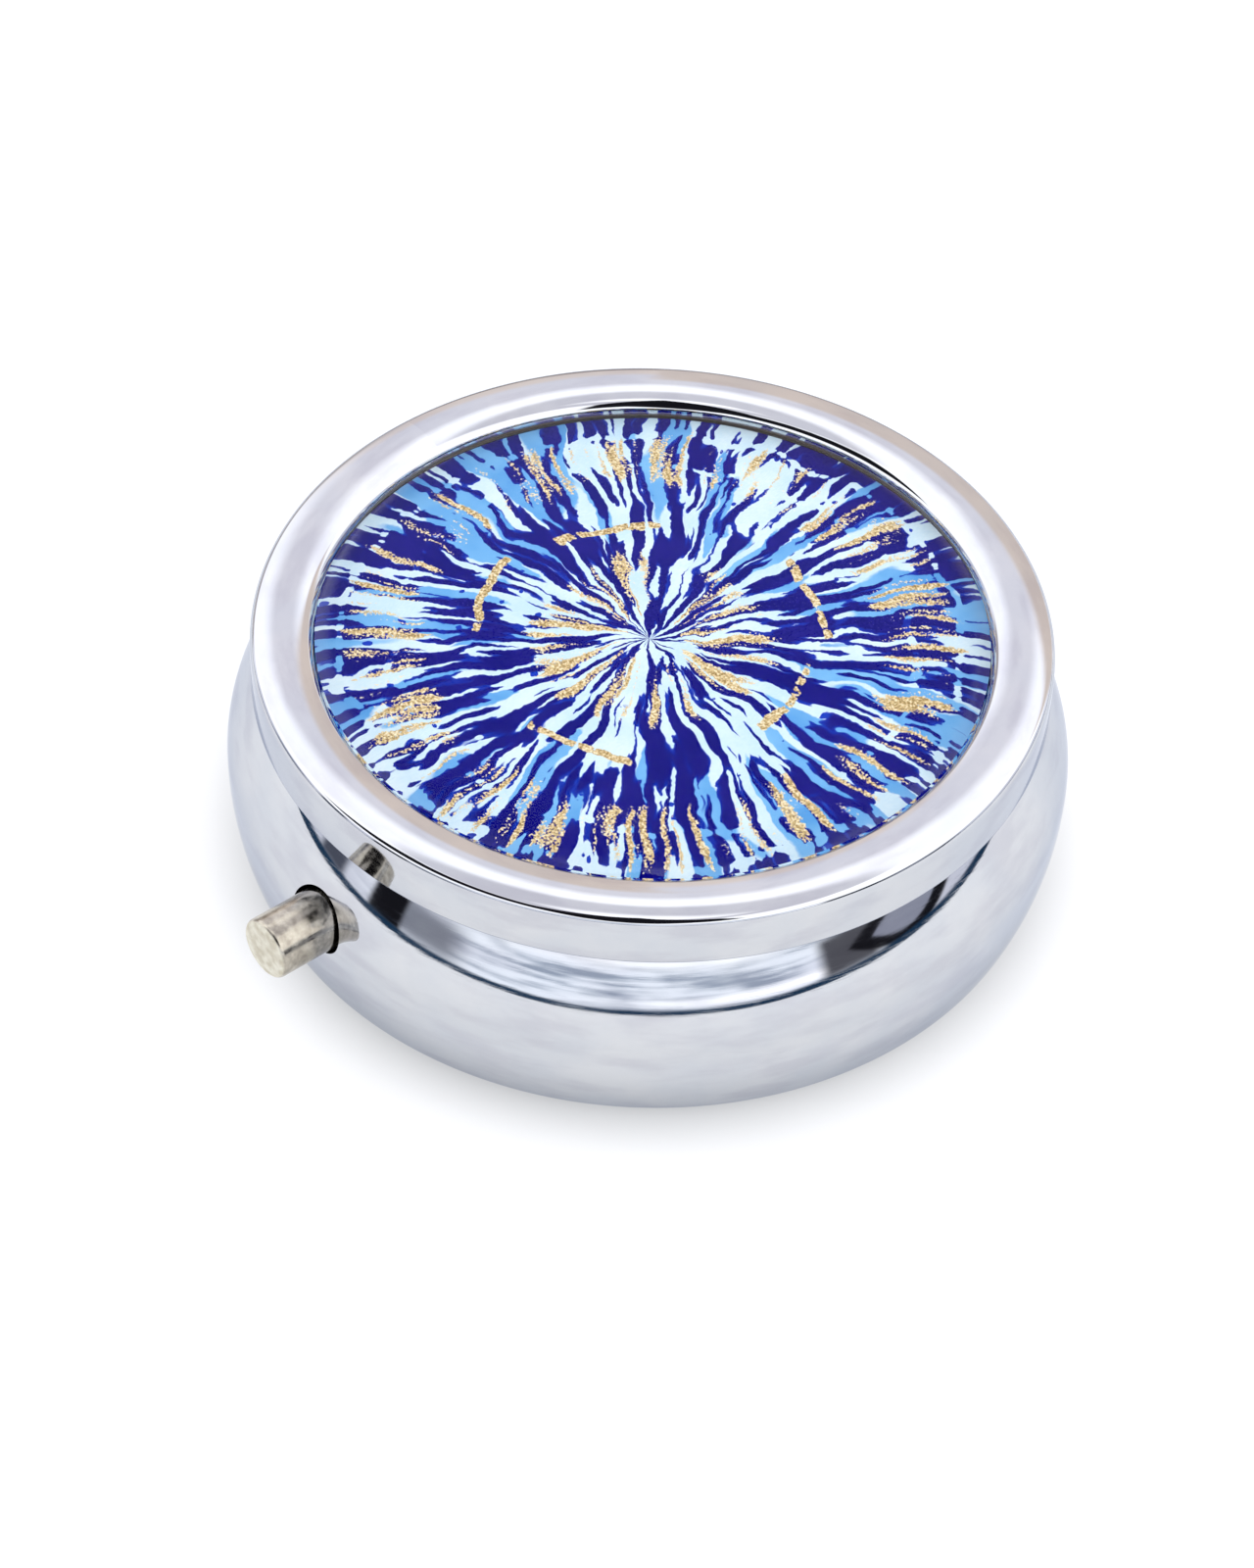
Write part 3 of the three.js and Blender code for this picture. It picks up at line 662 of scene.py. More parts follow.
def gold_field(burst):
    """Above a half where there is gold: strokes at the centre and in a belt further out, and a few arcs."""
    centre = times(burst.streaks(30, 8.0, 22), burst.belt(0.6, 8.4, 2.2), 0.955)
    outer = times(burst.streaks(90, 9.0, 23), burst.belt(12.6, 19.4, 2.0), 0.925)
    value = calc("SUBTRACT", calc("MAXIMUM", centre, outer), 0.045)
    worn = remap(burst.streaks(60, 2.0, 27), 0.34, 0.46, 0.46, 0.64)
    for distance, low, high in GOLD_ARCS:
        line = burst.belt(distance - ARC_HALF, distance + ARC_HALF, 0.2)
        value = calc("MAXIMUM", value, times(line, burst.sector(low, high), worn))
    return value


def printed_paper():
    """Coated paper with a wash of sky blue, ragged navy strokes and grainy gold, under the glass."""
    material, shader, where = new_material("printed_paper")
    burst = Burst(where)
    fibres = grain(where, 0.09, 4, (1, 3, 1))
    cloud = grain(where, 3.0, 3)
    speck = grain(where, 0.16, 3)
    fleck = grain(where, 0.15, 3)

    tone = plus(times(fibres, 0.35), times(cloud, 0.65))
    colour = mixed(remap(tone, 0.35, 0.65), *PAPER_TONES)

    wash = plus(burst.streaks(26, 11.0, 11), remap(burst.distance, 6, 10, -0.25, -0.035))
    sky = mixed(remap(cloud, 0.3, 0.7), *SKY_TONES)
    colour = mixed(remap(wash, 0.485, 0.505), colour, sky)

    navy = navy_field(burst)
    mottled = plus(speck, times(cloud, 0.6))
    deep = mixed(remap(mottled, 0.72, 0.92), *NAVY_TONES)
    deep = mixed(remap(navy, 0.485, 0.535), NAVY_EDGE, deep)
    covered = calc("MAXIMUM", remap(navy, 0.482, 0.492), spots(burst))
    colour = mixed(covered, colour, deep)

    grainy = plus(gold_field(burst), remap(fleck, 0.3, 0.7, -0.07, 0.07))
    gilt = remap(grainy, 0.50, 0.51)
    bright = mixed(remap(fleck, 0.36, 0.52), GOLD_TONES[0], GOLD_TONES[1])
    bright = mixed(remap(fleck, 0.54, 0.64), bright, GOLD_TONES[2])
    colour = mixed(gilt, colour, bright)
    bumps = raised(plus(times(gilt, fleck), times(speck, 0.2)), 0.01, 0.5)
    plug(shader, Base_Color=colour, Roughness=remap(speck, 0.3, 0.7, 0.45, 0.6), Normal=bumps)
    plug(shader, Metallic=times(gilt, 0.2), Specular_IOR_Level=0.0)
    return material


CHROME = chrome()
NICKEL = nickel()
STEEL = rolled_steel("plain_steel", (0.47, 0.48, 0.49), (0.60, 0.61, 0.62), 0.20, 0.38, 0.08, (12, 1, 1))
WIRE_TONES = (0.38, 0.39, 0.40), (0.52, 0.53, 0.55)
SPRING_STEEL = rolled_steel("spring_steel", *WIRE_TONES, 0.18, 0.34, 0.05, (1, 1, 1))
PLASTIC = tray_plastic()
PRINT = printed_paper()
GLUE = glue_film()
GLASS = glass()


# ---- Bowl and collar ----
# Openings for the hinge in the bowl, the collar and the lid: their y's and z's.
SHELL_NOTCH = (21, 27), (11.3, 14)
COLLAR_NOTCH = (20, 24), (11.4, 15)
LID_NOTCH = (22, 25), (12, 13.9)


def flank(inset, top_z, steps):
    """Side of the bowl from the underside up to top_z: foot, lower, upper and shoulder arcs."""
    foot_deg = degrees(asin((BULGE_Z - FOOT_ARC_R) / (LOWER_ARC_R - FOOT_ARC_R)))
    foot_r = BULGE_R - LOWER_ARC_R + (LOWER_ARC_R - FOOT_ARC_R) * cos(radians(foot_deg))
    slope = radians(UPPER_ARC_DEG)
    apart = UPPER_ARC_R - SHOULDER_ARC_R
    shoulder = (BULGE_R - UPPER_ARC_R + apart * cos(slope), BULGE_Z + apart * sin(slope))
    top_deg = degrees(asin((top_z - shoulder[1]) / (SHOULDER_ARC_R - inset)))
    return [
        *arc((foot_r, FOOT_ARC_R), FOOT_ARC_R - inset, -90, -foot_deg, steps),
        *arc((BULGE_R - LOWER_ARC_R, BULGE_Z), LOWER_ARC_R - inset, -foot_deg, 0, 2 * steps)[1:],
        *arc((BULGE_R - UPPER_ARC_R, BULGE_Z), UPPER_ARC_R - inset, 0, UPPER_ARC_DEG, steps)[1:],
        *arc(shoulder, SHOULDER_ARC_R - inset, UPPER_ARC_DEG, top_deg, steps)[1:],
    ]


def bowl():
    edge = 0.06
    inside = flank(SHELL_WALL, MOUTH_UNDER_Z, 5)
    mouth = [
        (SHELL_MOUTH_R + edge, SHOULDER_TOP_Z),
        (SHELL_MOUTH_R, SHOULDER_TOP_Z - edge),
        (SHELL_MOUTH_R, MOUTH_UNDER_Z),
    ]
    profile = [(0, 0), *flank(0, SHOULDER_TOP_Z, 12), *mouth, *reversed(inside), (0, SHELL_WALL)]
    shell = turned("bowl_shell", profile)
    hole = drill(BUTTON_HOLE_R, -BULGE_R - 2, -BULGE_R + 3)
    cut(shell, hole, slab("notch", HINGE_NOTCH_HALF, *SHELL_NOTCH))
    follow_profile(shell, profile)
    put(shell, "base", CHROME, "chrome_plate", "base_shell")


def collar():
    inner_r, edge = COLLAR_R - SHEET, 0.12
    middle_z = (COLLAR_BOTTOM_Z + COLLAR_TOP_Z) / 2
    outside = [(COLLAR_R, COLLAR_BOTTOM_Z, edge), (COLLAR_R, COLLAR_TOP_Z, 0.22)]
    inside = [(inner_r, COLLAR_TOP_Z, edge), (inner_r, COLLAR_TOP_Z - 1)]
    profile = rounded([(inner_r, middle_z), (inner_r, COLLAR_BOTTOM_Z, edge), *outside, *inside])
    made = turned("collar_sleeve", profile)
    cut(made, slab("notch", HINGE_NOTCH_HALF, *COLLAR_NOTCH), *rivet_holes())
    follow_profile(made, profile)
    put(made, "base", CHROME, "chrome_plate", "base_collar")


# ---- Rivets ----
RIVET_R = 0.4
RIVET_HEAD_R = 0.6
RIVET_HEAD_T = 0.2
RIVET_HALF = {"hinge": 0.93, "bracket": 0.80}  # half the length over both heads


def rivet_places():
    """Name, centre and direction of each rivet, from its CAD node's box."""
    for node in ("hinge_rivet_left", "hinge_rivet_right", "bracket_rivet_left", "bracket_rivet_right"):
        low, high = span(node)
        centre = (Vector(low) + Vector(high)) / 2
        hinge = node.startswith("hinge")
        outwards = Vector((0, 1, 0)) if hinge else Vector((centre.x, centre.y, 0)).normalized()
        yield node, centre, outwards


def rivet_holes():
    return [
        rod("hole", RIVET_R + PLAY, centre - 2 * outwards, centre + 2 * outwards, facets=32)
        for _, centre, outwards in rivet_places()
    ]


def rivets():
    for node, centre, outwards in rivet_places():
        half, crown = RIVET_HALF[node.split("_")[0]], 0.09
        under = half - RIVET_HEAD_T
        inner_head = [(0, -half), (RIVET_HEAD_R, -half, crown), (RIVET_HEAD_R, -under)]
        outer_head = [(RIVET_HEAD_R, under), (RIVET_HEAD_R, half, crown), (0, half)]
        profile = rounded([*inner_head, (RIVET_R, -under), (RIVET_R, under), *outer_head], 5)
        made = turned(node + "_body", profile, 32)
        follow_profile(made, profile)
        place_along(made, outwards, centre)
        put(made, "base", STEEL, "plain_steel", node)


# ---- Hinge ----
BASE_KNUCKLE_X = (2.85, 3.85)
LID_KNUCKLE_X = (1.8, 2.75)
LEAF_TAB_Y = 22.75


def knuckle(side, reach, tab_y, tab_z):
    """Rolled knuckle on the pin, with the finger that ties it to its leaf."""
    x0, x1 = sorted(side * x for x in reach)
    barrel = rod("knuckle", KNUCKLE_R, (x0, PIN_Y, PIN_Z), (x1, PIN_Y, PIN_Z))
    finger = block("finger", (x0, tab_y, tab_z[0]), (x1, PIN_Y, tab_z[1]))
    return [barrel, finger]


def bore(half):
    return rod("bore", BORE_R, (-half - 1, PIN_Y, PIN_Z), (half + 1, PIN_Y, PIN_Z))


def base_leaf():
    low_z, half, overlap = PIN_Z - KNUCKLE_R, BASE_LEAF_HALF, 0.2
    tab_z = (low_z, low_z + LEAF_SHEET)
    leaf_y = (BASE_LEAF_Y, BASE_LEAF_Y + LEAF_SHEET)
    leaf = slab("hinge_base_leaf", half, leaf_y, (BASE_LEAF_LOW_Z, tab_z[1]))
    join(leaf, slab("tab", half, (BASE_LEAF_Y, LEAF_TAB_Y), tab_z))
    for side in (-1, 1):
        join(leaf, *knuckle(side, BASE_KNUCKLE_X, LEAF_TAB_Y - overlap, tab_z))
    cut(leaf, bore(half), *rivet_holes())
    soften(leaf, 0.05)
    put(leaf, "base", STEEL, "plain_steel", "base_hinge_leaf")


def lid_leaf():
    high_z, half, sheet = PIN_Z + KNUCKLE_R, LID_LEAF_HALF, 0.42
    tab_z = (high_z - LEAF_SHEET, high_z)
    leaf = slab("hinge_lid_leaf", half, (LID_LEAF_Y, LID_LEAF_Y + sheet), (tab_z[0], LID_LEAF_TOP_Z))
    for side in (-1, 1):
        join(leaf, *knuckle(side, LID_KNUCKLE_X, LID_LEAF_Y, tab_z))
    cut(leaf, bore(half))
    soften(leaf, 0.05)
    put(leaf, "lid", STEEL, "plain_steel", "lid_hinge_leaf")


def pin():
    made = rod("hinge_pin_rod", PIN_R, (-PIN_HALF, PIN_Y, PIN_Z), (PIN_HALF, PIN_Y, PIN_Z), 0.12)
    put(made, "base", STEEL, "plain_steel", "hinge_pin")


COIL_X = 1.45
COIL_R = 0.7
COIL_WIRE_R = 0.13
COIL_TURNS = 6
LEG_END = (22.2, 0.28)  # y of a leg's end, and its height above or below the pin


def leg_points(side):
    """One leg of the hinge spring: off the coil, over or under the pin and back towards the box axis."""
    x = side * COIL_X
    start = Vector((x, PIN_Y + COIL_R, PIN_Z))
    corner = Vector((x, PIN_Y + COIL_R, PIN_Z + side * COIL_R))
    over = Vector((x, PIN_Y - 0.2 * COIL_R, PIN_Z + side * COIL_R))
    end = Vector((x, LEG_END[0], PIN_Z + side * LEG_END[1]))
    points = []
    for i in range(12):
        t = i / 12
        points.append((1 - t) ** 2 * start + 2 * t * (1 - t) * corner + t * t * over)
    return points + [over.lerp(end, i / 8) for i in range(9)]


def hinge_spring():
    """One wire in two pieces: the coil with its lower leg, and the upper leg that turns with the lid."""
    turns = helix(COIL_TURNS, 40, COIL_R)
    coil = [(COIL_X * (2 * share - 1), PIN_Y + back, PIN_Z + up) for share, back, up in turns]
    made = tube("hinge_spring_coil", [*reversed(leg_points(-1)), *coil[1:]], COIL_WIRE_R)
    put(made, "base", SPRING_STEEL, "spring_steel", "hinge_spring")
    upper = tube("hinge_spring_lid_leg", leg_points(1), COIL_WIRE_R)
    put(upper, "lid", SPRING_STEEL, "spring_steel")


# ---- Latch ----
BRACKET_HALF = 3.4
BRACKET_ARM_R = (21.7, 22.2)
BRACKET_ARM_LOW_Z = 10.2
BRACKET_ARM_DEG = (7.6, 20)
CHEEK_FRONT_Y = -21.75
STEM_PLAY = 0.15
NOSE_HALF = 1.4
NOSE_REACH = 0.45  # the slider's nose stands out this far in front of its plate


def bracket():
    front_y = BRACKET_BACK_Y - SHEET
    arm_z = (BRACKET_ARM_LOW_Z, BRACKET_TOP_Z)
    plate_y, plate_z = (front_y, BRACKET_BACK_Y), (BRACKET_LOW_Z, BRACKET_TOP_Z)
    plate = slab("latch_bracket_plate", BRACKET_HALF, plate_y, plate_z)
    for side in (-1, 1):
        x0, x1 = sorted((side * (BRACKET_HALF - SHEET), side * BRACKET_HALF))
        cheek = block("cheek", (x0, CHEEK_FRONT_Y, arm_z[0]), (x1, BRACKET_BACK_Y, arm_z[1]))
        ends = sorted(-90 + side * a for a in BRACKET_ARM_DEG)
        join(plate, cheek, sector("arm", BRACKET_ARM_R, arm_z, *ends))
    cut(plate, drill(STEM_R + STEM_PLAY, front_y - 1, BRACKET_BACK_Y + 1), *rivet_holes())
    soften(plate, 0.05)
    put(plate, "base", STEEL, "plain_steel", "latch_bracket")


def push_button():
    """Cap, stem and tenon turned in one piece; lengths run from the cap's outer end."""
    heel = BUTTON_HEEL_Y - BUTTON_TIP_Y
    shoulder = NOSE_Y + NOSE_REACH - BUTTON_TIP_Y
    length = TENON_END_Y - BUTTON_TIP_Y
    cap = [(0, 0), (BUTTON_R, 0.03, 0.36), (BUTTON_R, heel, 0.15)]
    stem = [(STEM_R, heel, 0.05), (STEM_R, shoulder, 0.08)]
    tenon = [(TENON_R, shoulder), (TENON_R, length, 0.08), (0, length)]
    profile = rounded([*cap, *stem, *tenon])
    made = turned("push_button_cap", profile, 96)
    follow_profile(made, profile)
    place_along(made, (0, 1, 0), (0, BUTTON_TIP_Y, BUTTON_Z))
    put(made, "button", NICKEL, "nickel", "push_button")


def slider():
    front_y = SLIDER_BACK_Y - SHEET
    plate_y, plate_z = (front_y, SLIDER_BACK_Y), (SLIDER_LOW_Z, SLIDER_TOP_Z)
    plate = slab("latch_slider_plate", SLIDER_HALF, plate_y, plate_z)
    join(plate, slab("nose", NOSE_HALF, (NOSE_Y, SLIDER_BACK_Y), (SLIDER_TOP_Z - SHEET, SLIDER_TOP_Z)))
    cut(plate, drill(TENON_R + PLAY, front_y - 1, SLIDER_BACK_Y + 1))
    soften(plate, 0.07)
    put(plate, "button", STEEL, "plain_steel", "latch_slider")


def washer():
    made = rod("retaining_washer_ring", WASHER_R, (0, WASHER_Y, BUTTON_Z), (0, WASHER_BACK_Y, BUTTON_Z), 0.06)
    cut(made, drill(TENON_R + PLAY, WASHER_Y - 1, WASHER_BACK_Y + 1))
    made.data.set_sharp_from_angle(angle=radians(35))
    put(made, "button", STEEL, "plain_steel", "retaining_washer")


SPRING_R = 1.3
SPRING_WIRE_R = 0.15
SPRING_TURNS = 4
SPRING_CLOSING = 0.6  # how much closer the turns lie at the ends


def button_spring():
    """Compression spring between the button's heel and the bracket, with its last turns closed up."""
    fixed_y = BRACKET_BACK_Y - SHEET
    from_y = BUTTON_HEEL_Y + SPRING_WIRE_R + PLAY
    to_y = fixed_y - SPRING_WIRE_R - PLAY
    points = []
    for share, aside, up in helix(SPRING_TURNS, 48, SPRING_R):
        eased = share - sin(2 * pi * share) / (2 * pi) * SPRING_CLOSING
        points.append((aside, from_y + (to_y - from_y) * eased, BUTTON_Z + up))
    made = tube("button_spring_coil", points, SPRING_WIRE_R)
    put(made, "base", SPRING_STEEL, "spring_steel", "button_spring")
    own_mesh(made)


CATCH_TONGUE_Y = (-21.95, -21.55)
CATCH_LIP_BACK_Y = -21.15
CATCH_LIP_T = 0.4
CATCH_FOOT_T = 0.35


def lid_catch():
    """Tongue that hangs from a foot under the lid and ends in the lip that the slider's nose holds."""
    made = slab("lid_catch_tongue", CATCH_HALF, CATCH_TONGUE_Y, (CATCH_LOW_Z, CATCH_TOP_Z))
    lip_y, lip_z = (CATCH_TONGUE_Y[0], CATCH_LIP_BACK_Y), (CATCH_LOW_Z, CATCH_LOW_Z + CATCH_LIP_T)
    foot_y, foot_z = (CATCH_FRONT_Y, CATCH_BACK_Y), (CATCH_TOP_Z - CATCH_FOOT_T, CATCH_TOP_Z)
    join(made, slab("lip", CATCH_HALF, lip_y, lip_z), slab("foot", CATCH_HALF, foot_y, foot_z))
    soften(made, 0.07)
    put(made, "lid", STEEL, "plain_steel", "lid_catch")


# ---- Tray ----
def pocket(sign_x, sign_y):
    """Room of one compartment: a piece of the round cut off by the dividers, with rounded inside corners."""
    low_z, high_z = TRAY_BOTTOM_Z + TRAY_WALL, TRAY_TOP_Z + 3
    room = turned("pocket", disc_outline(TRAY_R - TRAY_WALL, low_z, high_z), 72)
    half = TRAY_DIVIDER / 2
    edge_y = TRAY_DIVIDER_Y + sign_y * half
    x0, x1 = sorted((sign_x * half, sign_x * LARGE)) if sign_x else (-LARGE, LARGE)
    y0, y1 = (edge_y, LARGE) if sign_y > 0 else (TRAY_FRONT_Y + TRAY_WALL, edge_y)
    combine(room, "INTERSECT", [block("keep", (x0, y0, -1), (x1, y1, LARGE))])
    # One face each for floor and top, so that no corner inside them meets a rounded edge.
    flat = room.modifiers.new("flat", "DECIMATE")
    flat.decimate_type = "DISSOLVE"
    flat.angle_limit = radians(1)
    round_edges(room, 0.8, 5)
    return room


def tray():
    flange_z = TRAY_TOP_Z - SHEET
    below = [(0, TRAY_BOTTOM_Z), (TRAY_R, TRAY_BOTTOM_Z, 1.1), (TRAY_R, flange_z, 0.15)]
    flange = [(TRAY_FLANGE_R, flange_z, 0.1), (TRAY_FLANGE_R, TRAY_TOP_Z, 0.15), (0, TRAY_TOP_Z)]
    made = turned("tray_insert", rounded([*below, *flange]), 144)
    front = slab("front", LARGE, (-LARGE, TRAY_FRONT_Y), (-1, LARGE))
    cut(made, front, pocket(0, -1), pocket(-1, 1), pocket(1, 1))
    soften(made, 0.12, 2)
    put(made, "base", PLASTIC, "tray_plastic", "tray")


# ---- Lid ----
RIM_CORNER_R = 0.54  # tight corner between the side wall and the rim
RIM_CROWN_R = 4.5
RIM_SLOPE_DEG = 72  # slope at which the crown passes into its corners
RIM_DEPTH = 0.8  # from the top of the crown to the sheet's underside


def rim_outline():
    """Rim from the outer wall over the crown and down into the well."""
    slope = radians(RIM_SLOPE_DEG)
    drop = RIM_CROWN_R * (1 - sin(slope))
    corner = (LID_R - RIM_CORNER_R, RIM_CROWN_Z - drop - RIM_CORNER_R * sin(slope))
    crown_r = corner[0] - (RIM_CROWN_R - RIM_CORNER_R) * cos(slope)
    crown = (crown_r, RIM_CROWN_Z - RIM_CROWN_R)
    inner_start = crown_r - RIM_CROWN_R * cos(slope)
    roll_r = (inner_start - WELL_R) / (1 - cos(slope))
    roll = (WELL_R + roll_r, RIM_CROWN_Z - drop - roll_r * sin(slope))
    return [
        *arc(corner, RIM_CORNER_R, 0, RIM_SLOPE_DEG, 10),
        *arc(crown, RIM_CROWN_R, RIM_SLOPE_DEG, 180 - RIM_SLOPE_DEG, 20)[1:],
        *arc(roll, roll_r, 180 - RIM_SLOPE_DEG, 180, 14)[1:],
    ]


def lid_rim():
    """Side wall, rim and the well with its floor, in one sheet."""
    well_outer_r, inner_r = WELL_R + SHEET, LID_R - LID_WALL
    under_z, well_under_z = RIM_CROWN_Z - RIM_DEPTH, WELL_FLOOR_Z - SHEET
    under_well = [(0, well_under_z), (well_outer_r, well_under_z, 0.4), (well_outer_r, under_z, 0.25)]
    wall = [(inner_r, under_z, 0.4), (inner_r, LID_BOTTOM_Z, 0.2), (LID_R, LID_BOTTOM_Z, 0.2)]
    below = rounded([*under_well, *wall, (LID_R, LID_BOTTOM_Z + 1)])[:-1]
    well = rounded([(WELL_R, RIM_CROWN_Z), (WELL_R, WELL_FLOOR_Z, 0.3), (0, WELL_FLOOR_Z)])[1:]
    profile = [*below, *rim_outline(), *well]
    made = turned("lid_rim", profile)
    cut(made, slab("notch", HINGE_NOTCH_HALF, *LID_NOTCH))
    follow_profile(made, profile)
    put(made, "lid", CHROME, "chrome_plate", "lid_frame")


GLASS_SIDE_TOP_Z = 15.8
GLASS_ROLL_TOP_Z = 16.15
GLASS_ROLL_DEG = 60  # slope at which the roll starts above the side


def cabochon():
    """Low dome whose edge rolls over towards the side."""
    rise = GLASS_TOP_Z - GLASS_ROLL_TOP_Z
    dome_lean = degrees(2 * atan(rise / GLASS_R))
    steep, shallow = radians(GLASS_ROLL_DEG), radians(90 - dome_lean)
    roll_r = (GLASS_ROLL_TOP_Z - GLASS_SIDE_TOP_Z) / (sin(shallow) - sin(steep))
    roll = (GLASS_R - roll_r * cos(steep), GLASS_ROLL_TOP_Z - roll_r * sin(shallow))
    dome_r = (roll[0] + roll_r * cos(shallow)) / cos(shallow)
    profile = [
        *rounded([(0, GLASS_BOTTOM_Z), (GLASS_R, GLASS_BOTTOM_Z, 0.12), (GLASS_R, GLASS_SIDE_TOP_Z)]),
        *arc(roll, roll_r, GLASS_ROLL_DEG, 90 - dome_lean, 20)[1:],
        *arc((0, GLASS_TOP_Z - dome_r), dome_r, 90 - dome_lean, 90, 20)[1:-1],
        (0, GLASS_TOP_Z),
    ]
    made = turned("glass_cabochon", profile)
    follow_profile(made, profile)
    put(made, "lid", GLASS, "cabochon_glass", "cabochon")


def glue_layer():
    made = turned("glue_layer", disc_outline(GLUE_R, GLUE_BOTTOM_Z, GLUE_TOP_Z, 0.05, 6), 128)
    put(made, "lid", GLUE, "glue_film", "glue_disc")


def printed_disc():
    profile = disc_outline(PAPER_R, PAPER_BOTTOM_Z, PAPER_TOP_Z, 0.03)
    sheet = turned("print_paper_disc", profile)
    follow_profile(sheet, profile)
    put(sheet, "lid", PRINT, "printed_paper", "print_disc")


# ---- Studio ----
VIEW_AZIMUTH = 48.5  # degrees from the button's side towards +X
VIEW_ELEVATION = 45.2
VIEW_DISTANCE = 0.330
VIEW_CENTRE = (0, 0, 0.016)
VIEW_SLIDE = (-0.00116, -0.00904)  # to the right and up, so that the box sits where it does in the frame
VIEW_ROLL = -2.45
LENS = 160.3


def view_axes():
    """Towards the camera, to its right and up, before the roll, and level towards the camera."""
    azimuth, elevation = radians(VIEW_AZIMUTH), radians(VIEW_ELEVATION)
    level = Vector((sin(azimuth), -cos(azimuth), 0))
    right = Vector((cos(azimuth), sin(azimuth), 0))
    back = level * cos(elevation) + Vector((0, 0, sin(elevation)))
    return back, right, back.cross(right), level


def camera():
    back, right, up, _ = view_axes()
    roll = radians(VIEW_ROLL)
    cam_right = right * cos(roll) - up * sin(roll)
    cam_up = right * sin(roll) + up * cos(roll)
    data = bpy.data.cameras.new("camera")
    data.lens = LENS
    data.sensor_width = 36
    data.sensor_fit = "HORIZONTAL"
    data.clip_start = 0.01
    made = linked("camera", data)
    place = Vector(VIEW_CENTRE) + VIEW_DISTANCE * back + VIEW_SLIDE[0] * right + VIEW_SLIDE[1] * up
    turn = Matrix((cam_right, cam_up, back)).transposed().to_4x4()
    made.matrix_world = Matrix.Translation(place) @ turn
    bpy.context.scene.camera = made


FLOOR_R = 400
FLOOR_SIDES = 60
FLOOR_Z = -0.02  # just under the box
PAINTED_TABLE_GLOW = 0.80  # glow painted into the table, though it is no lamp, so that the shadow on it stays faint
# Painted shadow: how much the table glows under the box.
PAINTED_SHADOW_GLOW = 0.32


def floor():
    """Plain pale table top, part of the studio, with a painted glow that is weaker under the box, a painted
    shadow.
    """
    edge = arc((0, 0), FLOOR_R, 0, 360 - 360 / FLOOR_SIDES, FLOOR_SIDES - 1)
    made = new_object("floor", [(x, y, FLOOR_Z) for x, y in edge], [tuple(range(FLOOR_SIDES))])
    material, shader, where = new_material("floor_white")
    tone = mixed(grain(where, 60, 3), (0.25, 0.255, 0.265), (0.28, 0.28, 0.28))
    out = vector("LENGTH", where)
    # Painted shadow: the painted glow drops towards the box's edge and stays low under it.
    painted_shadow_span = (BULGE_R - 5) * MM, (BULGE_R + 3) * MM
    painted_glow = remap(out, *painted_shadow_span, PAINTED_SHADOW_GLOW, PAINTED_TABLE_GLOW, smooth=True)
    plug(shader, Base_Color=tone, Roughness=0.7, Specular_IOR_Level=0.2)
    plug(shader, Emission_Color=(0.97, 0.98, 1.0, 1), Emission_Strength=painted_glow)
    made.data.transform(Matrix.Scale(MM, 4))
    made.data.materials.append(material)


WHITE = (1.8, 1.8, 1.82)
SOFT_WHITE = (1.75, 1.75, 1.80)
DARK = (0.012, 0.012, 0.016)
LENS_GREY = (0.40, 0.42, 0.52)
HORIZON = (0.014, 0.05, 0.11)
BELOW_TABLE = (0.62, 0.64, 0.68)
BACKDROP = (1.2, 1.2, 1.2)  # what the camera itself sees past the floor
TABLE_TONES = (0.48, 0.55, 0.68), (1.30, 1.36, 1.48)
TABLE_STRIP = (1.9, 1.9, 1.95)
TABLE_SIDES = (0.90, 0.92, 1.04)
BEHIND_MIDDLE = (1.62, 1.62, 1.72)
# What the chrome sees behind the box and above it, by degrees above the table.
BEHIND = [
    (0, (0.42, 0.36, 0.33)),
    (7, (0.46, 0.39, 0.36)),
    (11, (1.08, 0.94, 0.86)),
    (20, (1.10, 0.96, 0.89)),
    (27, (1.05, 1.03, 1.12)),
    (46, (1.08, 1.06, 1.15)),
    (54, SOFT_WHITE),
    (60, SOFT_WHITE),
]
OVERHEAD = [(60, SOFT_WHITE), (66, (0.96, 0.95, 1.03)), (77, (0.96, 0.95, 1.03)), (82, WHITE)]
# Cards: colour, azimuths from the camera's side, degrees above the table and how soft the edges are.
BEHIND_CARDS = [((0.98, 0.84, 0.76), (128, 190), (6, 37), 3), ((0.62, 0.56, 0.54), (-165, -130), (2, 17), 4)]
HIGH_CARD = (DARK, (-96, 27), (33, 60), 2)
TABLE_CARDS = [
    ((0.34, 0.36, 0.42), (-66, -44), (0, 14), 5),
    (DARK, (-70, -60), (0, 15), 1.0),
    ((0.10, 0.11, 0.15), (-88, -79), (0, 16), 1.5),
    ((0.38, 0.41, 0.50), (-108, -94), (0, 13), 3),
    ((0.13, 0.13, 0.15), (45, 60), (0, 15), 2.2),
]


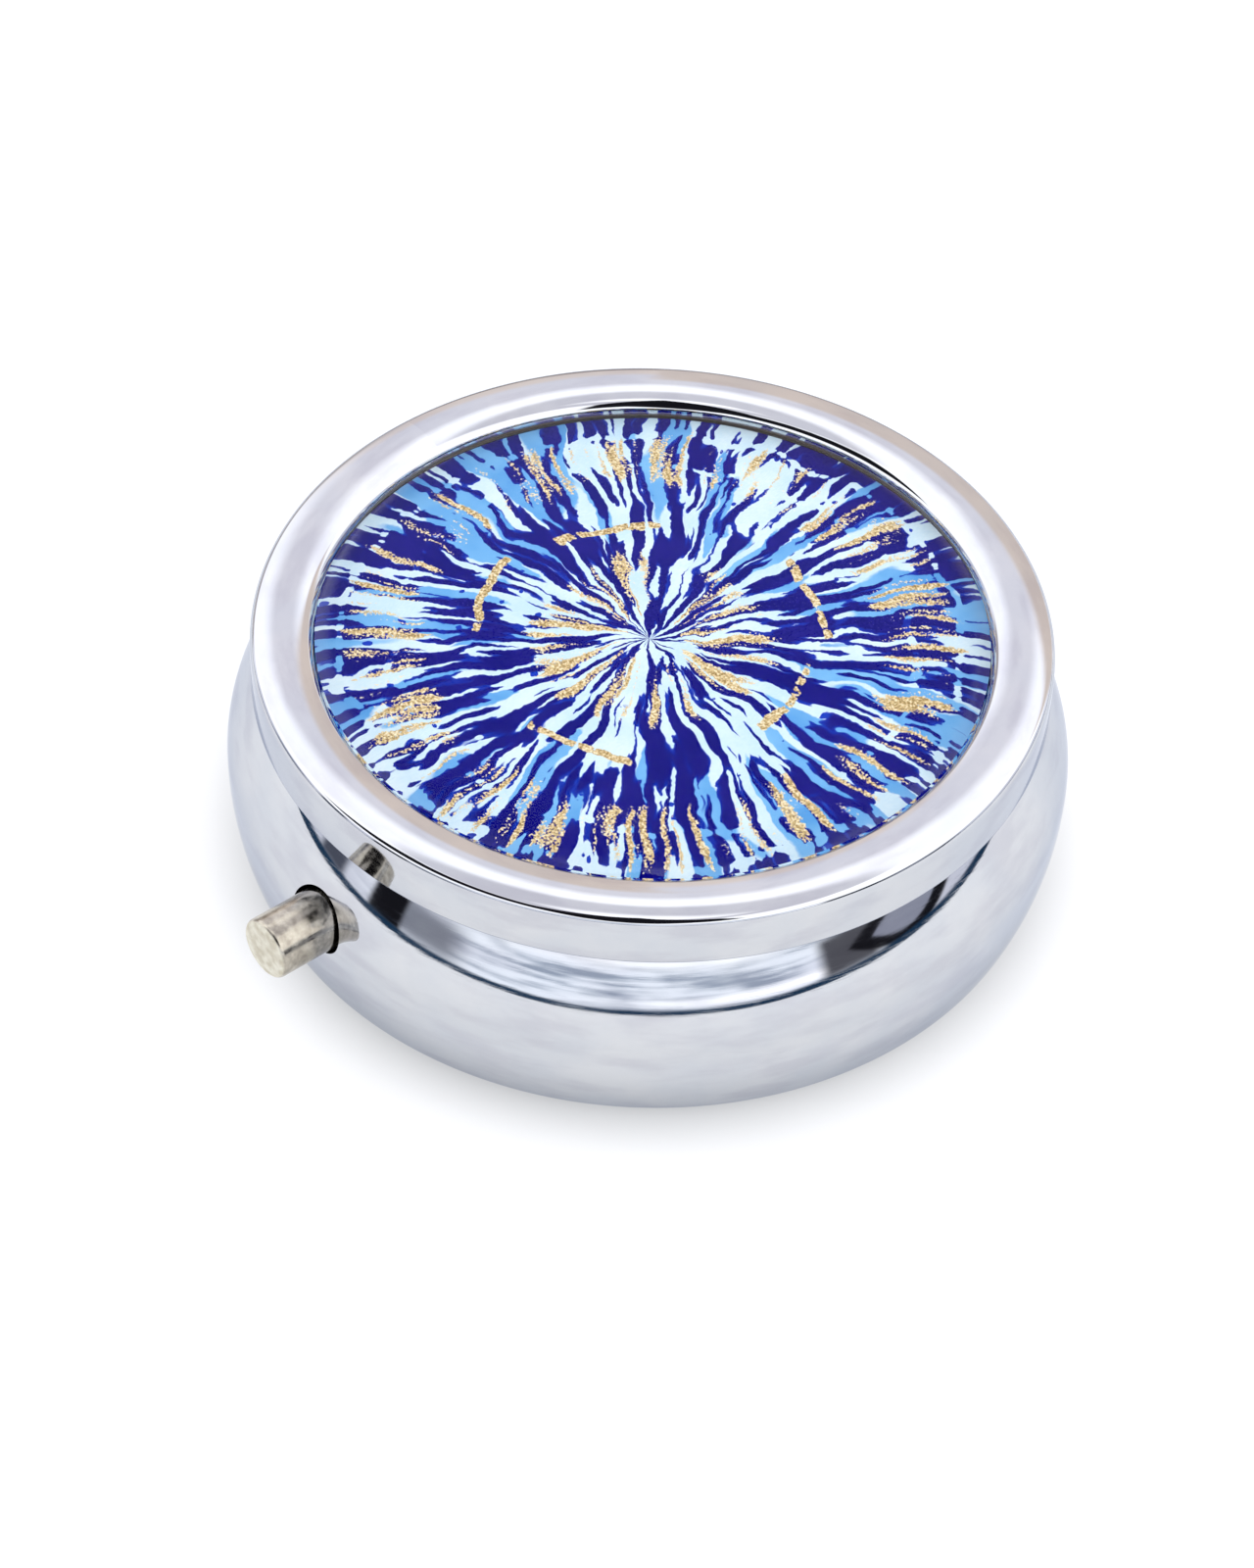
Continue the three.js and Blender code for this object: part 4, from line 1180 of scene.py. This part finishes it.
def world():
    """White studio that the chrome mirrors: a dark panel up high, warm greys behind, dark things below."""
    made = bpy.data.worlds.new("studio")
    bpy.context.scene.world = made
    made.use_nodes = True
    tree = made.node_tree
    _, right, _, level = view_axes()
    ray = add(tree, "TexCoord").outputs["Generated"]
    ahead, aside = vector("DOT_PRODUCT", ray, level), vector("DOT_PRODUCT", ray, right)
    turn = calc("DEGREES", calc("ARCTAN2", aside, ahead))
    rise = calc("DEGREES", calc("ARCSINE", split(ray)[2]))
    turned_by = calc("ABSOLUTE", turn)

    def card(below, colour, turns, rises, soft):
        """Lays a card of one colour over what is there, between two azimuths and two heights."""
        share = times(within(turn, *turns, soft), within(rise, *rises, soft))
        return mixed(share, below, colour)

    def lens(below, shades, middle, reach):
        """Lays nested lens shapes over what is there, each inside the last, pointed at both ends."""
        for step, shade in enumerate(shades):
            size = 1 - 0.4 * step
            x = calc("DIVIDE", calc("SUBTRACT", turn, middle[0]), reach[0] * size)
            y = calc("DIVIDE", calc("SUBTRACT", rise, middle[1]), reach[1] * size)
            bow = plus(times(x, x), calc("ABSOLUTE", y))
            below = mixed(remap(bow, 0.92, 1.06, 1.0, 0.0), below, shade)
        return below

    def by_height(stops):
        """Colour that changes with the height above the table, from (degrees, colour) stops."""
        made = after("ValToRGB", {0: remap(rise, 0, 90)})
        points = made.color_ramp.elements
        while len(points) < len(stops):
            points.new(0.5)
        for point, (height, shade) in zip(points, stops):
            point.position = height / 90
            point.color = (*shade, 1)
        return made.outputs[0]

    def uneven(wide, high, detail):
        """Noise in patches about so many degrees wide and high."""
        place = vector_of(calc("DIVIDE", turn, wide), calc("DIVIDE", rise, high))
        return noise(place, detail)[0]

    # The table in front: streaks, a bright strip to the right, and an even grey further round.
    cover = plus(times(uneven(38, 2.4, 4.0), 0.6), times(uneven(20, 8, 2.0), 0.4))
    table = mixed(remap(cover, 0.42, 0.54), *TABLE_TONES)
    strip = times(within(rise, 1.6, 5.0, 1.2), remap(turn, -20, 30))
    table = mixed(strip, table, TABLE_STRIP)
    table = mixed(remap(turned_by, 55, 85, smooth=True), table, TABLE_SIDES)
    near = mixed(remap(rise, 14, 22, smooth=True), table, WHITE)

    middle = remap(turned_by, 152, 170, smooth=True)
    far = mixed(middle, BEHIND_MIDDLE, by_height(BEHIND))
    for panel in BEHIND_CARDS:
        far = card(far, *panel)
    colour = mixed(remap(turned_by, 118, 136, smooth=True), near, far)
    colour = mixed(remap(rise, 60, 64), colour, by_height(OVERHEAD))
    colour = lens(card(colour, *HIGH_CARD), (DARK,), (-5, 60), (34, 36))
    for panel in TABLE_CARDS:
        colour = card(colour, *panel)
    colour = lens(colour, (DARK, LENS_GREY), (69, 7), (17, 8))

    colour = mixed(remap(rise, -2.6, -1.8, 1.0, 0.0), colour, BELOW_TABLE)
    colour = mixed(within(rise, -2.2, 0.6, 0.5), colour, HORIZON)
    camera_ray = add(tree, "LightPath").outputs["Is Camera Ray"]
    colour = mixed(camera_ray, colour, BACKDROP)
    tree.links.new(colour, tree.nodes["Background"].inputs["Color"])


def soft_light():
    """Large overhead light for the matt surfaces; the chrome doesn't mirror it."""
    data = bpy.data.lights.new("overhead", "SUN")
    data.energy = 0.5
    data.angle = radians(100)
    linked("overhead", data).visible_glossy = False


for make in (
    bowl, collar, rivets, base_leaf, lid_leaf, pin, hinge_spring, bracket,
    push_button, slider, washer, button_spring, lid_catch, tray,
    lid_rim, cabochon, glue_layer, printed_disc, floor, world, soft_light, camera,
):
    make()
bpy.context.scene.view_settings.view_transform = "Standard"
